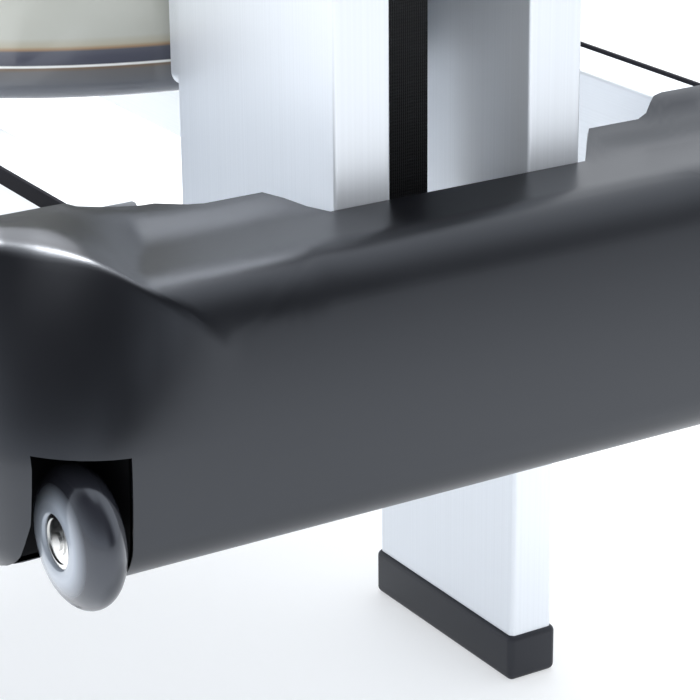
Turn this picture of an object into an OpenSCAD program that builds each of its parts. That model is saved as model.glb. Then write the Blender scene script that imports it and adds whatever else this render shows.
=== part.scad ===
// Water rowing machine with a tubular aluminium frame: a moulded front bumper
// with two castors, two uprights that carry the pull strap, a clear water tank
// over the rails, a footboard, a rolling seat and a handle.
// Millimetres. +Y runs along the rails to the rear, +Z is up, the floor is Z = 0
// and the origin is under the middle of the machine.
// Inside the modules, Y counts from the front faces of the uprights.

/* [Machine] */
// Length from the castor wheels to the rear end caps
overall_l = 2120; // [1950:5:2300]
// Height of the rail tops above the floor
rail_top_z = 414.7; // [395:0.1:440]
// Height of the top of the upright cap
overall_h = 686; // [670:1:720]

/* [Tubes] */
// Thickness of the frame tube
tube_t = 30; // [26:1:34]
// Depth of the frame tube
tube_w = 150; // [140:1:156]
// Wall of the frame tube
tube_wall = 3; // [2:0.5:4]
// Outer corner radius of the rails and legs
tube_r = 3; // [2:0.5:4]
// Outer corner radius of the uprights
upright_r = 1.8; // [1:0.1:3]
// Space between the rails
rail_gap = 302; // [296:2:312]
// Space between the uprights
upright_gap = 77.5; // [72:0.5:84]

/* [Legs] */
// Front face of the front legs
front_leg_y = 210; // [190:5:230]
// Front face of the rear legs
rear_leg_y = 1850; // [1700:5:1850]
// How far the legs stop below the rail tops
leg_drop = 25; // [10:1:50]
// Height of a foot cap
foot_h = 30.5; // [24:0.5:40]
// How far a foot cap stands out all round
foot_lip = 2.3; // [1.5:0.1:4]
// Thickness of the bottom of a foot cap
foot_base = 4; // [3:0.5:8]

/* [Bumper] */
// Half width of the bumper
bumper_half_w = 262; // [256:1:270]
// How far the bumper face stands in front of the uprights
bumper_reach = 62; // [58:1:70]
// Lowest level of the bumper
bumper_z0 = 272.5; // [268:0.5:276]
// Level where the bumper face stands out most
bumper_mid_z = 335; // [325:1:345]
// Level of the bumper top in front of the uprights
bumper_top_z = 405.5; // [400:0.5:410]
// Radius of the long front shoulder
bumper_shoulder_r = 24.5; // [18:0.5:30]
// Radius of the roll under the bumper
bumper_roll_r = 25; // [18:0.5:28]
// Radius of the vertical corners
bumper_corner_r = 52; // [40:1:58]
// Wall of the moulding
bumper_wall = 3; // [2.5:0.1:3.2]
// How far the sides reach behind the front faces of the uprights
bumper_side_back = 70; // [60:1:90]

/* [Castors] */
// Distance of a castor from the middle
castor_x = 225; // [222:1:227]
// Centre of the castor wheels, in front of the uprights
castor_fwd = 43; // [40:1:48]
// Height of the castor axles
castor_z = 298; // [294:1:302]
// Radius of a castor wheel
castor_r = 33; // [28:1:34]
// Width of a castor wheel
castor_w = 24; // [20:1:26]
// Radius of the castor bearing
bearing_r = 12.2; // [11:0.1:13]
// Space beside a castor wheel in its pocket
castor_side_gap = 6; // [4:0.5:6]
// Space behind and above a castor wheel in its pocket
castor_gap = 4; // [3:0.5:6]

/* [Drive] */
// Width of the pull strap
strap_w = 25; // [20:1:26]
// Thickness of the pull strap
strap_t = 2; // [1.5:0.1:2.5]
// Centre of the vertical strap run, behind the upright fronts
strap_y = 48.4; // [44:0.1:54]
// Radius of the top pulley
top_pulley_r = 32; // [26:1:34]
// Radius of the lower pulley
low_pulley_r = 20; // [16:1:24]
// Radius of the drum
drum_r = 30; // [24:1:36]
// Radius of the paddle shaft
shaft_r = 6; // [5:0.5:7]
// Width of the recoil spring's strip
recoil_w = 18; // [12:1:22]

/* [Tank] */
// Outer radius of the tank wall
tank_r = 240; // [225:1:243]
// Gap from the front plate to the tank flange
tank_front_gap = 2.5; // [2:0.5:20]
// Gap under the tank, filled by the pads
tank_pad_t = 2.3; // [2:0.1:5]
// Wall of the tank
tank_wall = 4; // [3:0.5:5]
// Radius where the tank bottom turns up
tank_edge_r = 9; // [6:0.5:14]
// Height of the lower tank half
tank_low_h = 67; // [60:1:75]
// Height of the upper tank half
tank_up_h = 84; // [70:1:90]
// Width of the flange round the tank
tank_flange = 7.5; // [6.5:0.5:9]

/* [Footboard and seat] */
// Slope of the footboard
board_angle = 50; // [45:1:55]
// Length of the footboard
board_l = 300; // [280:5:320]
// From the tank wall back to the top edge of the footboard
board_gap = 37; // [35:1:50]
// Height of the top edge of the footboard
board_z = 575; // [570:1:585]
// Half length of the rolling seat frame
seat_half_l = 105; // [95:1:115]
// Seat position at rest, behind the upright fronts
seat_y = 1150; // [1130:5:1250]
// Height of the seat top
seat_top_z = 510; // [500:1:520]
// Radius of a seat roller
roller_r = 20; // [16:1:22]
// Handle length
handle_l = 480; // [420:5:500]

/* [Hidden] */
$fn = 64;

fit = 0.05;        // running fit on a radius
clear = 0.3;       // space between a strap and a pulley
loose = 0.5;       // space beside pieces that slide or turn
touch = 0.05;      // space between pieces that are clamped together
eps = 1;

// Frame places
front_y = -castor_fwd - castor_r;
mid_y = front_y + overall_l / 2;
rail_x0 = rail_gap / 2;
rail_x1 = rail_x0 + tube_t;
rail_z0 = rail_top_z - tube_w;
rail_y0 = 37;
cap_t = 4;
rail_y1 = front_y + overall_l - cap_t;
up_x0 = upright_gap / 2;
up_x1 = up_x0 + tube_t;
cap_h = 10;
up_z1 = overall_h - cap_h;
beam_t = 30;
beam_z1 = rail_z0 + beam_t;
beam_y0 = rail_y0 + 1;
strip_t = 2;
strip_h = 8;
bolt_r = 4;
bolt_hole = bolt_r + 0.2;
head_h = 5.3;
head_r = 7.5;
nut_h = 6.5;
leg_z1 = rail_top_z - leg_drop;

// Bumper places
lip_z = rail_top_z + bumper_wall + 0.8;
lip_y = rail_y0 + 3;

// Drive places
plate_t = 10;
tank_y = tube_w + plate_t + tank_front_gap + tank_flange + tank_r;
tank_z0 = rail_top_z + tank_pad_t;
board_y = tank_y + tank_r + board_gap;
strap_in_y = strap_y + strap_t / 2;
top_y = strap_in_y + clear + top_pulley_r;
top_z = up_z1 - 8 - clear - top_pulley_r;
strap_run_z = top_z + top_pulley_r + clear;
low_y = strap_in_y + clear + low_pulley_r;
low_z = beam_z1 + 50;
low_strap_r = low_pulley_r + clear + strap_t / 2;
drum_x = drum_r + clear + strap_t / 2;
bracket_t = 4;
flange_z = tank_z0 + tank_low_h;
flange_t = 6;
gasket_t = 1.5;
upper_z = flange_z + gasket_t;
tank_top_z = upper_z + tank_up_h;
drum_lip_t = 2;
drum_z0 = tank_top_z + 9;
strap_back_z = drum_z0 + drum_lip_t + 0.8 + strap_w / 2;
drum_z1 = strap_back_z + strap_w / 2 + 0.8 + drum_lip_t;
idler_y = low_y + 2 * low_strap_r;
idler_z = strap_back_z - low_strap_r;
house_r = 50;
house_t = 3;
house_z0 = drum_z1 + 1;
bridge_z1 = strap_run_z - 20;
bridge_t = 5;
sleeve_r = shaft_r + 4;
screw_n = 16;
rear_beam_y = rear_leg_y - 70;
rear_beam_z = rail_z0 + 10;

// Footboard, monitor and handle places
board_t = 12;
stay_t = 6;
board_half = rail_x0 - stay_t;
stay_mid_y = board_y + 128;
foot_x = 74;
handle_r = 15;
core_r = 9;
handle_y = board_y + 48;
handle_z = strap_run_z + strap_t / 2;
pivot_y = board_y + 3;
pivot_z = board_z + 32;
pin_r = 4;
lens_t = 1.5;
mon_w = 150;
mon_l = 70;
mon_t = 24;

// Seat places
roller_w = 22;
roller_x = (rail_x0 + rail_x1) / 2;
roller_z = rail_top_z + roller_r;
roller_dy = 70;
axle_r = 5;
cheek_x = rail_x0 - 11;
cheek_t = 6;
deck_z = roller_z + roller_r + 3;
deck_t = 6;

module at_front() {
    translate([0, -mid_y, 0])
        children();
}

module both_sides() {
    children();
    mirror([1, 0, 0])
        children();
}

// Rounded rectangle with true arcs
module rrect(w, h, r) {
    square([w - 2 * r, h], center = true);
    square([w, h - 2 * r], center = true);
    for (sx = [-1, 1], sy = [-1, 1])
        translate([sx * (w / 2 - r), sy * (h / 2 - r)])
            circle(r);
}

module tube_outline(w, h, r, wall) {
    difference() {
        rrect(w, h, r);
        rrect(w - 2 * wall, h - 2 * wall, max(r - wall, 0.6));
    }
}

// Cylinder along X from x0 to x1
module rod_x(x0, x1, r, y, z) {
    translate([x0, y, z])
        rotate([0, 90, 0])
            cylinder(h = x1 - x0, r = r);
}

// Box given by its two corners
module block(a, b) {
    translate(a)
        cube(b - a);
}

// Where the bolts through the rails go: y, z, outer x, inner x
leg_bolts = [for (y0 = [front_leg_y, rear_leg_y], dy = [-45, 45], z = [rail_z0 + 35, rail_z0 + 95])
    [y0 + tube_w / 2 + dy, z, rail_x1 + tube_t, rail_x0]];
tank_bolts = [for (dy = [-18, 18])
    [tank_y + dy, rail_z0 + 65, rail_x1 + bracket_t, rail_x0]];
stay_bolts = [for (dy = [-30, 30])
    [stay_mid_y + dy, rail_z0 + 60, rail_x1, rail_x0 - stay_t]];
rail_bolts = concat(leg_bolts, tank_bolts, stay_bolts);
beam_screws = [for (y = [beam_y0 + 80, beam_y0 + 102]) [y, rail_z0 + beam_t / 2]];
rear_screws = [for (y = [rear_beam_y + 15, rear_beam_y + 45]) [y, rear_beam_z + beam_t / 2]];
arm_screws = [for (y = [rail_y0 + 33, rail_y0 + 53]) [y, beam_z1 + head_r + 2]];
screw_len = 20;

module rail_holes() {
    for (b = rail_bolts)
        rod_x(rail_x0 - eps, rail_x1 + eps, bolt_hole, b[0], b[1]);
    for (s = concat(beam_screws, rear_screws))
        rod_x(rail_x0 - eps, rail_x1 + eps, bolt_hole, s[0], s[1]);
    for (s = arm_screws)
        rod_x(rail_x0 - eps, rail_x1 + eps, bolt_hole, s[0], s[1]);
}

// One rail on the +X side
module rail() {
    difference() {
        translate([(rail_x0 + rail_x1) / 2, rail_y1, (rail_z0 + rail_top_z) / 2])
            rotate([90, 0, 0])
                linear_extrude(rail_y1 - rail_y0)
                    tube_outline(tube_t, tube_w, tube_r, tube_wall);
        rail_holes();
    }
}

module rail_left() {
    color("gainsboro")
        at_front()
            mirror([1, 0, 0])
                rail();
}

module rail_right() {
    color("gainsboro")
        at_front()
            rail();
}

// Thin dark strips along the top outer edges of the rails
module rail_strips() {
    color("black")
        at_front()
            both_sides()
                block([rail_x1, rail_y0 + 3.4, rail_top_z - strip_h + 1],
                    [rail_x1 + strip_t, rail_y1 - cap_t, rail_top_z + 1]);
}

// Rear caps that plug the rails and stop the seat
module rail_end_caps() {
    plug = 18;
    stop_h = 12;
    color("black")
        at_front()
            both_sides() {
                block([rail_x0 + 1, rail_y1, rail_z0],
                    [rail_x1 - 1, rail_y1 + cap_t, rail_top_z + stop_h]);
                block([rail_x0 + tube_wall + loose, rail_y1 - plug, rail_z0 + tube_wall + loose],
                    [rail_x1 - tube_wall - loose, rail_y1 + eps, rail_top_z - tube_wall - loose]);
            }
}

// One upright on the +X side, standing on the front beam
module upright() {
    difference() {
        translate([(up_x0 + up_x1) / 2, tube_w / 2, beam_z1])
            linear_extrude(up_z1 - beam_z1)
                tube_outline(tube_t, tube_w, upright_r, tube_wall);
        for (a = axle_places)
            rod_x(up_x0 - eps, up_x1 + eps, shaft_r + fit, a[0], a[1]);
        for (z = plate_screw_z)
            translate([(up_x0 + up_x1) / 2, tube_w - 2 * tube_wall, z])
                rotate([-90, 0, 0])
                    cylinder(h = 3 * tube_wall, r = 3 + fit);
        for (y = bracket_screw_y)
            rod_x(up_x1 - 2 * tube_wall, up_x1 + eps, bolt_hole, y, beam_z1 + 35);
    }
}
plate_z0 = rail_top_z + 12.3;
plate_z1 = strap_back_z - 12;
plate_screw_z = [plate_z0 + 20, plate_z1 - 20, house_z0 + 12, bridge_z1 - 12];
axle_places = [[top_y, top_z], [idler_y, idler_z]];
bracket_screw_y = [55, 105];

module upright_left() {
    color("gainsboro")
        at_front()
            mirror([1, 0, 0])
                upright();
}

module upright_right() {
    color("gainsboro")
        at_front()
            upright();
}

// Cap across the tops of both uprights, with plugs that enter the tubes
module upright_cap() {
    plug = 14;
    lip = 2;
    w = 2 * up_x1 + 2 * lip;
    color("black")
        at_front() {
            translate([0, tube_w / 2, up_z1])
                linear_extrude(cap_h)
                    rrect(w, tube_w + 2 * lip, 6);
            both_sides()
                block([up_x0 + tube_wall + loose, tube_wall + loose, up_z1 - plug],
                    [up_x1 - tube_wall - loose, tube_w - tube_wall - loose, up_z1 + eps]);
        }
}

// Hollow cross beam with solid ends that take the rail screws
module cross_beam(y0, y1, z0, screws) {
    end_t = 14;
    difference() {
        block([-rail_x0, y0, z0], [rail_x0, y1, z0 + beam_t]);
        block([-rail_x0 + end_t, y0 + tube_wall, z0 + tube_wall],
            [rail_x0 - end_t, y1 - tube_wall, z0 + beam_t - tube_wall]);
        both_sides()
            for (s = screws)
                rod_x(rail_x0 - end_t - eps, rail_x0 + eps, bolt_hole, s[0], s[1]);
    }
}

module front_beam() {
    color("silver")
        at_front()
            difference() {
                cross_beam(2, tube_w - 2, rail_z0, beam_screws);
                both_sides()
                    for (y = bracket_screw_y)
                        translate([up_x1 + 25, y, rail_z0 + beam_t - 2 * tube_wall])
                            cylinder(h = 3 * tube_wall, r = bolt_hole);
            }
}

module rear_beam() {
    color("silver")
        at_front()
            cross_beam(rear_beam_y, rear_beam_y + 60, rear_beam_z, rear_screws);
}

// Angles that tie the uprights to the front beam
module upright_brackets() {
    t = 5;
    color("dimgray")
        at_front()
            both_sides()
                difference() {
                    union() {
                        block([up_x1, 30, beam_z1], [up_x1 + t, 130, beam_z1 + 55]);
                        block([up_x1, 30, beam_z1], [up_x1 + 42, 130, beam_z1 + t]);
                    }
                    for (y = bracket_screw_y) {
                        rod_x(up_x1 - eps, up_x1 + t + eps, bolt_hole, y, beam_z1 + 35);
                        translate([up_x1 + 25, y, beam_z1 - eps])
                            cylinder(h = t + 2 * eps, r = bolt_hole);
                    }
                }
}

// Plate behind the uprights that the tank backs onto
module front_plate() {
    over = -1.9;
    corner = 8;
    w = 2 * (up_x1 + over);
    color("lightsteelblue")
        at_front()
            difference() {
                translate([0, tube_w + plate_t, (plate_z0 + plate_z1) / 2])
                    rotate([90, 0, 0])
                        linear_extrude(plate_t)
                            rrect(w, plate_z1 - plate_z0, corner);
                both_sides()
                    for (z = plate_screw_z)
                        translate([(up_x0 + up_x1) / 2, tube_w - eps, z])
                            rotate([-90, 0, 0])
                                cylinder(h = plate_t + 2 * eps, r = 3 + fit);
            }
}

// One leg tube with its front face at y0
module leg(y0) {
    difference() {
        translate([rail_x1 + tube_t / 2, y0 + tube_w / 2, foot_base])
            linear_extrude(leg_z1 - foot_base)
                tube_outline(tube_t, tube_w, tube_r, tube_wall);
        for (b = leg_bolts)
            rod_x(rail_x1 - eps, rail_x1 + tube_t + eps, bolt_hole, b[0], b[1]);
    }
}

module legs() {
    color("gainsboro")
        at_front()
            both_sides()
                for (y0 = [front_leg_y, rear_leg_y])
                    leg(y0);
}

// Foot caps, one under each leg
module foot_caps() {
    slack = 0.1;
    color("black")
        at_front()
            both_sides()
                for (y0 = [front_leg_y, rear_leg_y])
                    translate([rail_x1 + tube_t / 2, y0 + tube_w / 2, 0])
                        difference() {
                            linear_extrude(foot_h)
                                rrect(tube_t + 2 * foot_lip, tube_w + 2 * foot_lip, tube_r + foot_lip);
                            translate([0, 0, foot_base])
                                linear_extrude(foot_h)
                                    rrect(tube_t + 2 * slack, tube_w + 2 * slack, tube_r + slack);
                        }
}

// Hexagon bolt along X on the +X side, with a nut on the inside
module rail_bolt(y, z, x_out, x_in) {
    rod_x(x_in - nut_h, x_out + eps, bolt_r, y, z);
    translate([x_out, y, z])
        rotate([0, 90, 0])
            cylinder(h = head_h, r = head_r, $fn = 6);
    translate([x_in - nut_h, y, z])
        rotate([0, 90, 0])
            cylinder(h = nut_h, r = head_r, $fn = 6);
}

module rail_screw(y, z, x_out) {
    rod_x(x_out - screw_len - tube_t + 10, x_out + eps, bolt_r, y, z);
    translate([x_out, y, z])
        rotate([0, 90, 0])
            cylinder(h = head_h, r = head_r, $fn = 6);
}

module frame_bolts() {
    t = 5;
    color("gray")
        at_front()
            both_sides() {
                for (b = rail_bolts)
                    rail_bolt(b[0], b[1], b[2], b[3]);
                for (s = concat(beam_screws, rear_screws))
                    rail_screw(s[0], s[1], rail_x1);
                for (s = arm_screws)
                    rail_bolt(s[0], s[1], arm_x1, rail_x0);
                for (y = bracket_screw_y) {
                    translate([up_x1 + 25, y, beam_z1 - 2 * tube_wall])
                        cylinder(h = 2 * tube_wall + t + eps, r = bolt_r);
                    translate([up_x1 + 25, y, beam_z1 + t])
                        cylinder(h = head_h, r = head_r, $fn = 6);
                    rod_x(up_x1 - 2 * tube_wall, up_x1 + t + eps, bolt_r, y, beam_z1 + 35);
                    translate([up_x1 + t, y, beam_z1 + 35])
                        rotate([0, 90, 0])
                            cylinder(h = head_h, r = head_r, $fn = 6);
                }
                for (z = plate_screw_z)
                    translate([(up_x0 + up_x1) / 2, tube_w - 2 * tube_wall, z])
                        rotate([-90, 0, 0]) {
                            cylinder(h = 2 * tube_wall + plate_t + eps, r = 3);
                            translate([0, 0, 2 * tube_wall + plate_t])
                                cylinder(h = 4, r = 5.5);
                        }
            }
}

// Bumper outline at its widest level and along the top of its corners.
// d shrinks both outlines for the inner skin.
corner_n = 8;
chamfer_n = 4;
corner_cx = bumper_half_w - bumper_corner_r;
corner_cy = bumper_corner_r - bumper_reach;
chamfer_x = corner_cx - 50;
crest_x = corner_cx + 14;
crest_y = 0;
crest_side = 24;

function mix(a, b, t) = a + (b - a) * t;
function mid_point(k, d) =
    k <= chamfer_n
        ? [mix(chamfer_x, corner_cx, k / chamfer_n), -bumper_reach + d]
        : let (a = -90 + 90 * (k - chamfer_n) / corner_n)
            [corner_cx + (bumper_corner_r - d) * cos(a), corner_cy + (bumper_corner_r - d) * sin(a)];
function top_point(k, d) =
    let (n = chamfer_n + corner_n, last = bumper_half_w - crest_side)
        k <= n - 3
            ? [mix(chamfer_x - d / 2, crest_x - d * 0.7, k / (n - 3)),
                mix(7 - bumper_reach + d, crest_y + d * 0.7, k / (n - 3))]
            : [mix(crest_x, last, (k - n + 3) / 3) - d, mix(crest_y, 10, (k - n + 3) / 3) + d * 0.7];

// Inset of the face below its widest level: a slight lean, then the roll
function low_inset(z) =
    let (zr = bumper_z0 + bumper_roll_r, lean = 2)
        z >= zr
            ? lean * pow((bumper_mid_z - z) / (bumper_mid_z - zr), 2)
            : lean + bumper_roll_r - sqrt(max(0, pow(bumper_roll_r, 2) - pow(zr - z, 2)));

function ring_half(z, d, back) =
    let (g = z <= bumper_mid_z ? 0 : pow((z - bumper_mid_z) / (lip_z + 6 - bumper_mid_z), 1.5),
        e = z <= bumper_mid_z ? d + low_inset(z) : d)
        concat(
            [for (k = [0:chamfer_n + corner_n])
                let (m = mid_point(k, e), t = top_point(k, d))
                    [mix(m[0], t[0], g), mix(m[1], t[1], g), z]],
            [[mix(bumper_half_w - e, bumper_half_w - crest_side - d, g), back, z]]);

function ring_full(z, d, back) =
    let (h = ring_half(z, d, back), n = len(h))
        concat([for (p = h) p], [for (i = [n - 1:-1:0]) [-h[i][0], h[i][1], h[i][2]]]);

// Closed solid through a stack of rings of equal length
module loft(rings) {
    n = len(rings[0]);
    m = len(rings);
    polyhedron(
        points = [for (r = rings) each r],
        faces = concat(
            [[for (i = [0:n - 1]) i]],
            [for (j = [0:m - 2], i = [0:n - 1])
                [j * n + i, (j + 1) * n + (i + 1) % n, j * n + (i + 1) % n]],
            [for (j = [0:m - 2], i = [0:n - 1])
                [j * n + i, (j + 1) * n + i, (j + 1) * n + (i + 1) % n]],
            [[for (i = [n - 1:-1:0]) (m - 1) * n + i]]),
        convexity = 6);
}

function bumper_levels(z0) = concat(
    [for (a = [0:15:90]) z0 + bumper_roll_r * (1 - cos(a))],
    [bumper_z0 + bumper_roll_r + 18, bumper_mid_z],
    [for (i = [1:7]) mix(bumper_mid_z, lip_z + 6, i / 7)]);

module bumper_sides(d, back) {
    z0 = bumper_z0 + d;
    loft([for (z = bumper_levels(bumper_z0)) ring_full(max(z, z0), d, back)]);
}

// Side view of the top: shoulder, flat, and the rise to the rear lip
module bumper_top(d, back) {
    shoulder_y = bumper_reach - bumper_shoulder_r - 4.5;
    shoulder_z = bumper_top_z - bumper_shoulder_r;
    rise = 11.5;
    steep = [lip_y - 16, lip_y - 5];
    pts = concat(
        [[-bumper_reach - 4 + d, bumper_z0 - 10], [-bumper_reach - 4 + d, bumper_mid_z]],
        [for (a = [180:-7.5:90])
            [-shoulder_y + (bumper_shoulder_r - d) * cos(a), shoulder_z + (bumper_shoulder_r - d) * sin(a)]],
        [[0, bumper_top_z - d], [steep[0], bumper_top_z + 6 - d],
            [steep[0] + 5, bumper_top_z + 8.6 - d], [steep[1] - 1.5, lip_z - 1 - d],
            [steep[1] + 2, lip_z - d], [back, lip_z + 0.4 - d], [back, bumper_z0 - 10]]);
    translate([-bumper_half_w - 10, 0, 0])
        rotate([90, 0, 90])
            linear_extrude(2 * bumper_half_w + 20)
                polygon(pts);
}

module bumper_body(d, back) {
    intersection() {
        bumper_sides(d, back);
        bumper_top(d, back);
    }
}

pocket_x0 = castor_x - castor_w / 2 - castor_side_gap;
pocket_x1 = castor_x + castor_w / 2 + castor_side_gap;
pocket_back = castor_r + castor_gap + 2 - castor_fwd;
pocket_z1 = castor_z + castor_r + castor_gap;

// Walls round a castor, open to the front and below
module castor_housing(d) {
    block([pocket_x0 - d, d > 0 ? -bumper_reach + 3 : -bumper_reach - 40, bumper_z0 - (d > 0 ? 0 : 20)],
        [pocket_x1 + d, pocket_back + d, pocket_z1 + d]);
}

// Plan of the gap behind the lip, for the uprights and the rails
module lip_cut() {
    side = rail_x1 + 36;
    half = [[0, -0.6], [up_x1 + 3, -0.6], [up_x1 + 24, lip_y - 15], [rail_x0 - 28, lip_y - 15],
        [rail_x0 - 2, lip_y], [side, lip_y], [side, bumper_side_back + 30], [0, bumper_side_back + 30]];
    both_sides()
        translate([0, 0, bumper_mid_z + 30])
            linear_extrude(120)
                polygon(half);
}

// The moulding, kept to its full width
module bumper_shell() {
    color("dimgray")
        at_front()
            resize([2 * bumper_half_w, 0, 0])
            difference() {
                union() {
                    difference() {
                        bumper_body(0, bumper_side_back);
                        bumper_body(bumper_wall, bumper_side_back + 40);
                    }
                    intersection() {
                        bumper_body(0, bumper_side_back);
                        both_sides()
                            castor_housing(bumper_wall);
                    }
                }
                both_sides()
                    castor_housing(0);
                both_sides()
                    rod_x(pocket_x0 - 2 * bumper_wall, castor_x, 6, -castor_fwd, castor_z);
                lip_cut();
                block([-rail_x1 - 20, -8, bumper_z0 - 5], [rail_x1 + 20, bumper_side_back + 50, bumper_z0 + 18]);
                block([-pocket_x1, pocket_back + bumper_wall + 1, bumper_z0 - 5],
                    [pocket_x1, bumper_side_back + 50, bumper_z0 + 18]);
            }
}

// Stay from the front beam to the inside of the bumper face
module bumper_stay() {
    t = 4;
    half = 60;
    y0 = -bumper_reach + bumper_wall + 0.4;
    z0 = bumper_mid_z - 8;
    color("dimgray")
        at_front() {
            block([-half, y0, z0], [half, y0 + t, z0 + 16]);
            block([-half, y0, z0], [half, -loose, z0 + t]);
            block([4 - up_x0, y0, z0], [up_x0 - 4, 20, z0 + t]);
            both_sides()
                block([up_x0 - 14, 20 - t, beam_z1], [up_x0 - 4, 20, z0 + t]);
        }
}

// Arms that carry the castor axles from the rails
arm_x1 = pocket_x0 - bumper_wall - loose;
arm_t = 5;
module castor_arms() {
    color("dimgray")
        at_front()
            both_sides()
                difference() {
                    union() {
                        block([arm_x1 - arm_t, -castor_fwd - 9, castor_z - 12],
                            [arm_x1, rail_y0 + 66, castor_z + 14]);
                        block([rail_x1, rail_y0 + 20, castor_z - 14],
                            [arm_x1, rail_y0 + 66, beam_z1 + 2 * head_r + 4]);
                    }
                    rod_x(arm_x1 - arm_t - eps, arm_x1 + eps, castor_axle_r + fit, -castor_fwd, castor_z);
                    for (s = arm_screws)
                        rod_x(rail_x1 - eps, arm_x1 + eps, bolt_hole, s[0], s[1]);
                }
}

castor_axle_r = 4;
module castor_axles() {
    color("silver")
        at_front()
            both_sides() {
                rod_x(arm_x1 - arm_t - 4, castor_x + castor_w / 2 - 0.6, castor_axle_r, -castor_fwd, castor_z);
                rod_x(arm_x1 - arm_t - 4, arm_x1 - arm_t, 7, -castor_fwd, castor_z);
                rod_x(pocket_x0 - bumper_wall + 0.2, castor_x - castor_w / 2 + 1, 5.6, -castor_fwd, castor_z);
            }
}

// Castor wheel: flat hub sides and an elliptic tread
module castor_wheel() {
    tread = 16;
    flat_r = castor_r - tread;
    rotate([0, 90, 0])
        rotate_extrude()
            polygon(concat(
                [[bearing_r + 0.02, -castor_w / 2], [bearing_r + 0.02, castor_w / 2]],
                [for (a = [90:-10:-90]) [flat_r + tread * cos(a), castor_w / 2 * sin(a)]]));
}

// The two ball bearings of a castor, each set a little in from the wheel side
module castor_bearing() {
    bw = 7;
    set_in = 1.4;
    rotate([0, 90, 0])
        both_ends(castor_w / 2 - set_in - bw)
            rotate_extrude()
                polygon([[castor_axle_r + fit, 0], [castor_axle_r + fit, bw], [6.3, bw],
                    [6.3, bw - 0.6], [10.2, bw - 0.6], [10.2, bw], [bearing_r, bw], [bearing_r, 0]]);
}

module both_ends(z) {
    translate([0, 0, z])
        children();
    mirror([0, 0, 1])
        translate([0, 0, z])
            children();
}

module castor_wheel_left() {
    color("slategray")
        at_front()
            translate([-castor_x, -castor_fwd, castor_z])
                castor_wheel();
}

module castor_wheel_right() {
    color("slategray")
        at_front()
            translate([castor_x, -castor_fwd, castor_z])
                castor_wheel();
}

module castor_bearing_left() {
    color("silver")
        at_front()
            translate([-castor_x, -castor_fwd, castor_z])
                castor_bearing();
}

module castor_bearing_right() {
    color("silver")
        at_front()
            translate([castor_x, -castor_fwd, castor_z])
                castor_bearing();
}

// Flanged belt pulley about X
module pulley(r, w, lip, bore) {
    rotate([0, 90, 0])
        difference() {
            union() {
                cylinder(h = w, r = r, center = true);
                both_ends(w / 2 - 2)
                    cylinder(h = 2, r = r + lip);
            }
            cylinder(h = w + 2, r = bore, center = true);
        }
}
pulley_w = strap_w + 5;
low_axle_r = 5;

module top_pulley() {
    color("darkslategray")
        at_front()
            translate([0, top_y, top_z])
                pulley(top_pulley_r, pulley_w, 5, shaft_r + fit);
}

// Pulley behind the top one, over which the strap turns back to the drum
module idler_pulley() {
    color("darkslategray")
        at_front()
            translate([0, idler_y, idler_z])
                pulley(low_pulley_r, pulley_w, 4, shaft_r + fit);
}

// Axles through both uprights, with heads outside and spacers beside the pulleys
module pulley_axles() {
    color("silver")
        at_front()
            for (a = axle_places) {
                rod_x(-up_x1 - 3, up_x1 + 3, shaft_r, a[0], a[1]);
                both_sides() {
                    rod_x(up_x1, up_x1 + 4, 10, a[0], a[1]);
                    rod_x(pulley_w / 2 + loose, up_x0 - loose, 9, a[0], a[1]);
                }
            }
}

module lower_pulley() {
    color("darkslategray")
        at_front()
            translate([0, low_y, low_z])
                pulley(low_pulley_r, pulley_w, 4, low_axle_r + fit);
}

// Fork on the front beam that carries the lower pulley on its axle
module lower_pulley_bracket() {
    cheek0 = pulley_w / 2 + loose;
    cheek1 = cheek0 + 4;
    color("dimgray")
        at_front() {
            block([-cheek1, low_y - 12, beam_z1], [cheek1, tube_w - 20, beam_z1 + 4]);
            both_sides()
                block([cheek0, low_y - 12, beam_z1], [cheek1, low_y + 16, low_z + 12]);
            rod_x(-cheek1, cheek1, low_axle_r, low_y, low_z);
        }
}

// One cross section of a strap: centre c, width along w, thickness along n
function strap_ring(c, w, n) =
    [for (q = [[1, 1], [-1, 1], [-1, -1], [1, -1]])
        c + w * q[0] * strap_w / 2 + n * q[1] * strap_t / 2];

// Cross sections of a strap bent about X, from angle a0 to a1, with its
// outer face away from the axis, or toward it when side is -1
function strap_bend(y, z, r, a0, a1, n, side = 1) =
    [for (i = [0:n])
        let (a = mix(a0, a1, i / n))
            strap_ring([0, y + r * cos(a), z + r * sin(a)], [1, 0, 0], side * [0, cos(a), sin(a)])];

// Fixed part of the pull strap: over the top pulley, down between the
// uprights, round the lower pulley, up again over the idler pulley and back
// to the drum with a quarter twist
module drive_strap() {
    top = strap_bend(top_y, top_z, top_pulley_r + clear + strap_t / 2, 90, 180, 9);
    low = strap_bend(low_y, low_z, low_strap_r, 180, 360, 18);
    over = strap_bend(idler_y, idler_z, low_strap_r, 180, 90, 9, -1);
    twist = [for (i = [1:20])
        let (t = i / 20, e = t * t * (3 - 2 * t), a = 90 * e)
            strap_ring([drum_x * e, mix(idler_y, tank_y, t), strap_back_z],
                [cos(a), 0, sin(a)], [sin(a), 0, -cos(a)])];
    wrap = [for (a = [12:12:192])
        strap_ring([drum_x * cos(a), tank_y + drum_x * sin(a), strap_back_z],
            [0, 0, 1], [cos(a), sin(a), 0])];
    color("black")
        at_front()
            loft(concat(top, low, over, twist, wrap));
}

// Free run of the pull strap, from the top pulley to the handle
module handle_strap() {
    color("black")
        at_front()
            block([-strap_w / 2, top_y, strap_run_z],
                [strap_w / 2, handle_y - yoke_l, strap_run_z + strap_t]);
}
yoke_l = 27;

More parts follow.
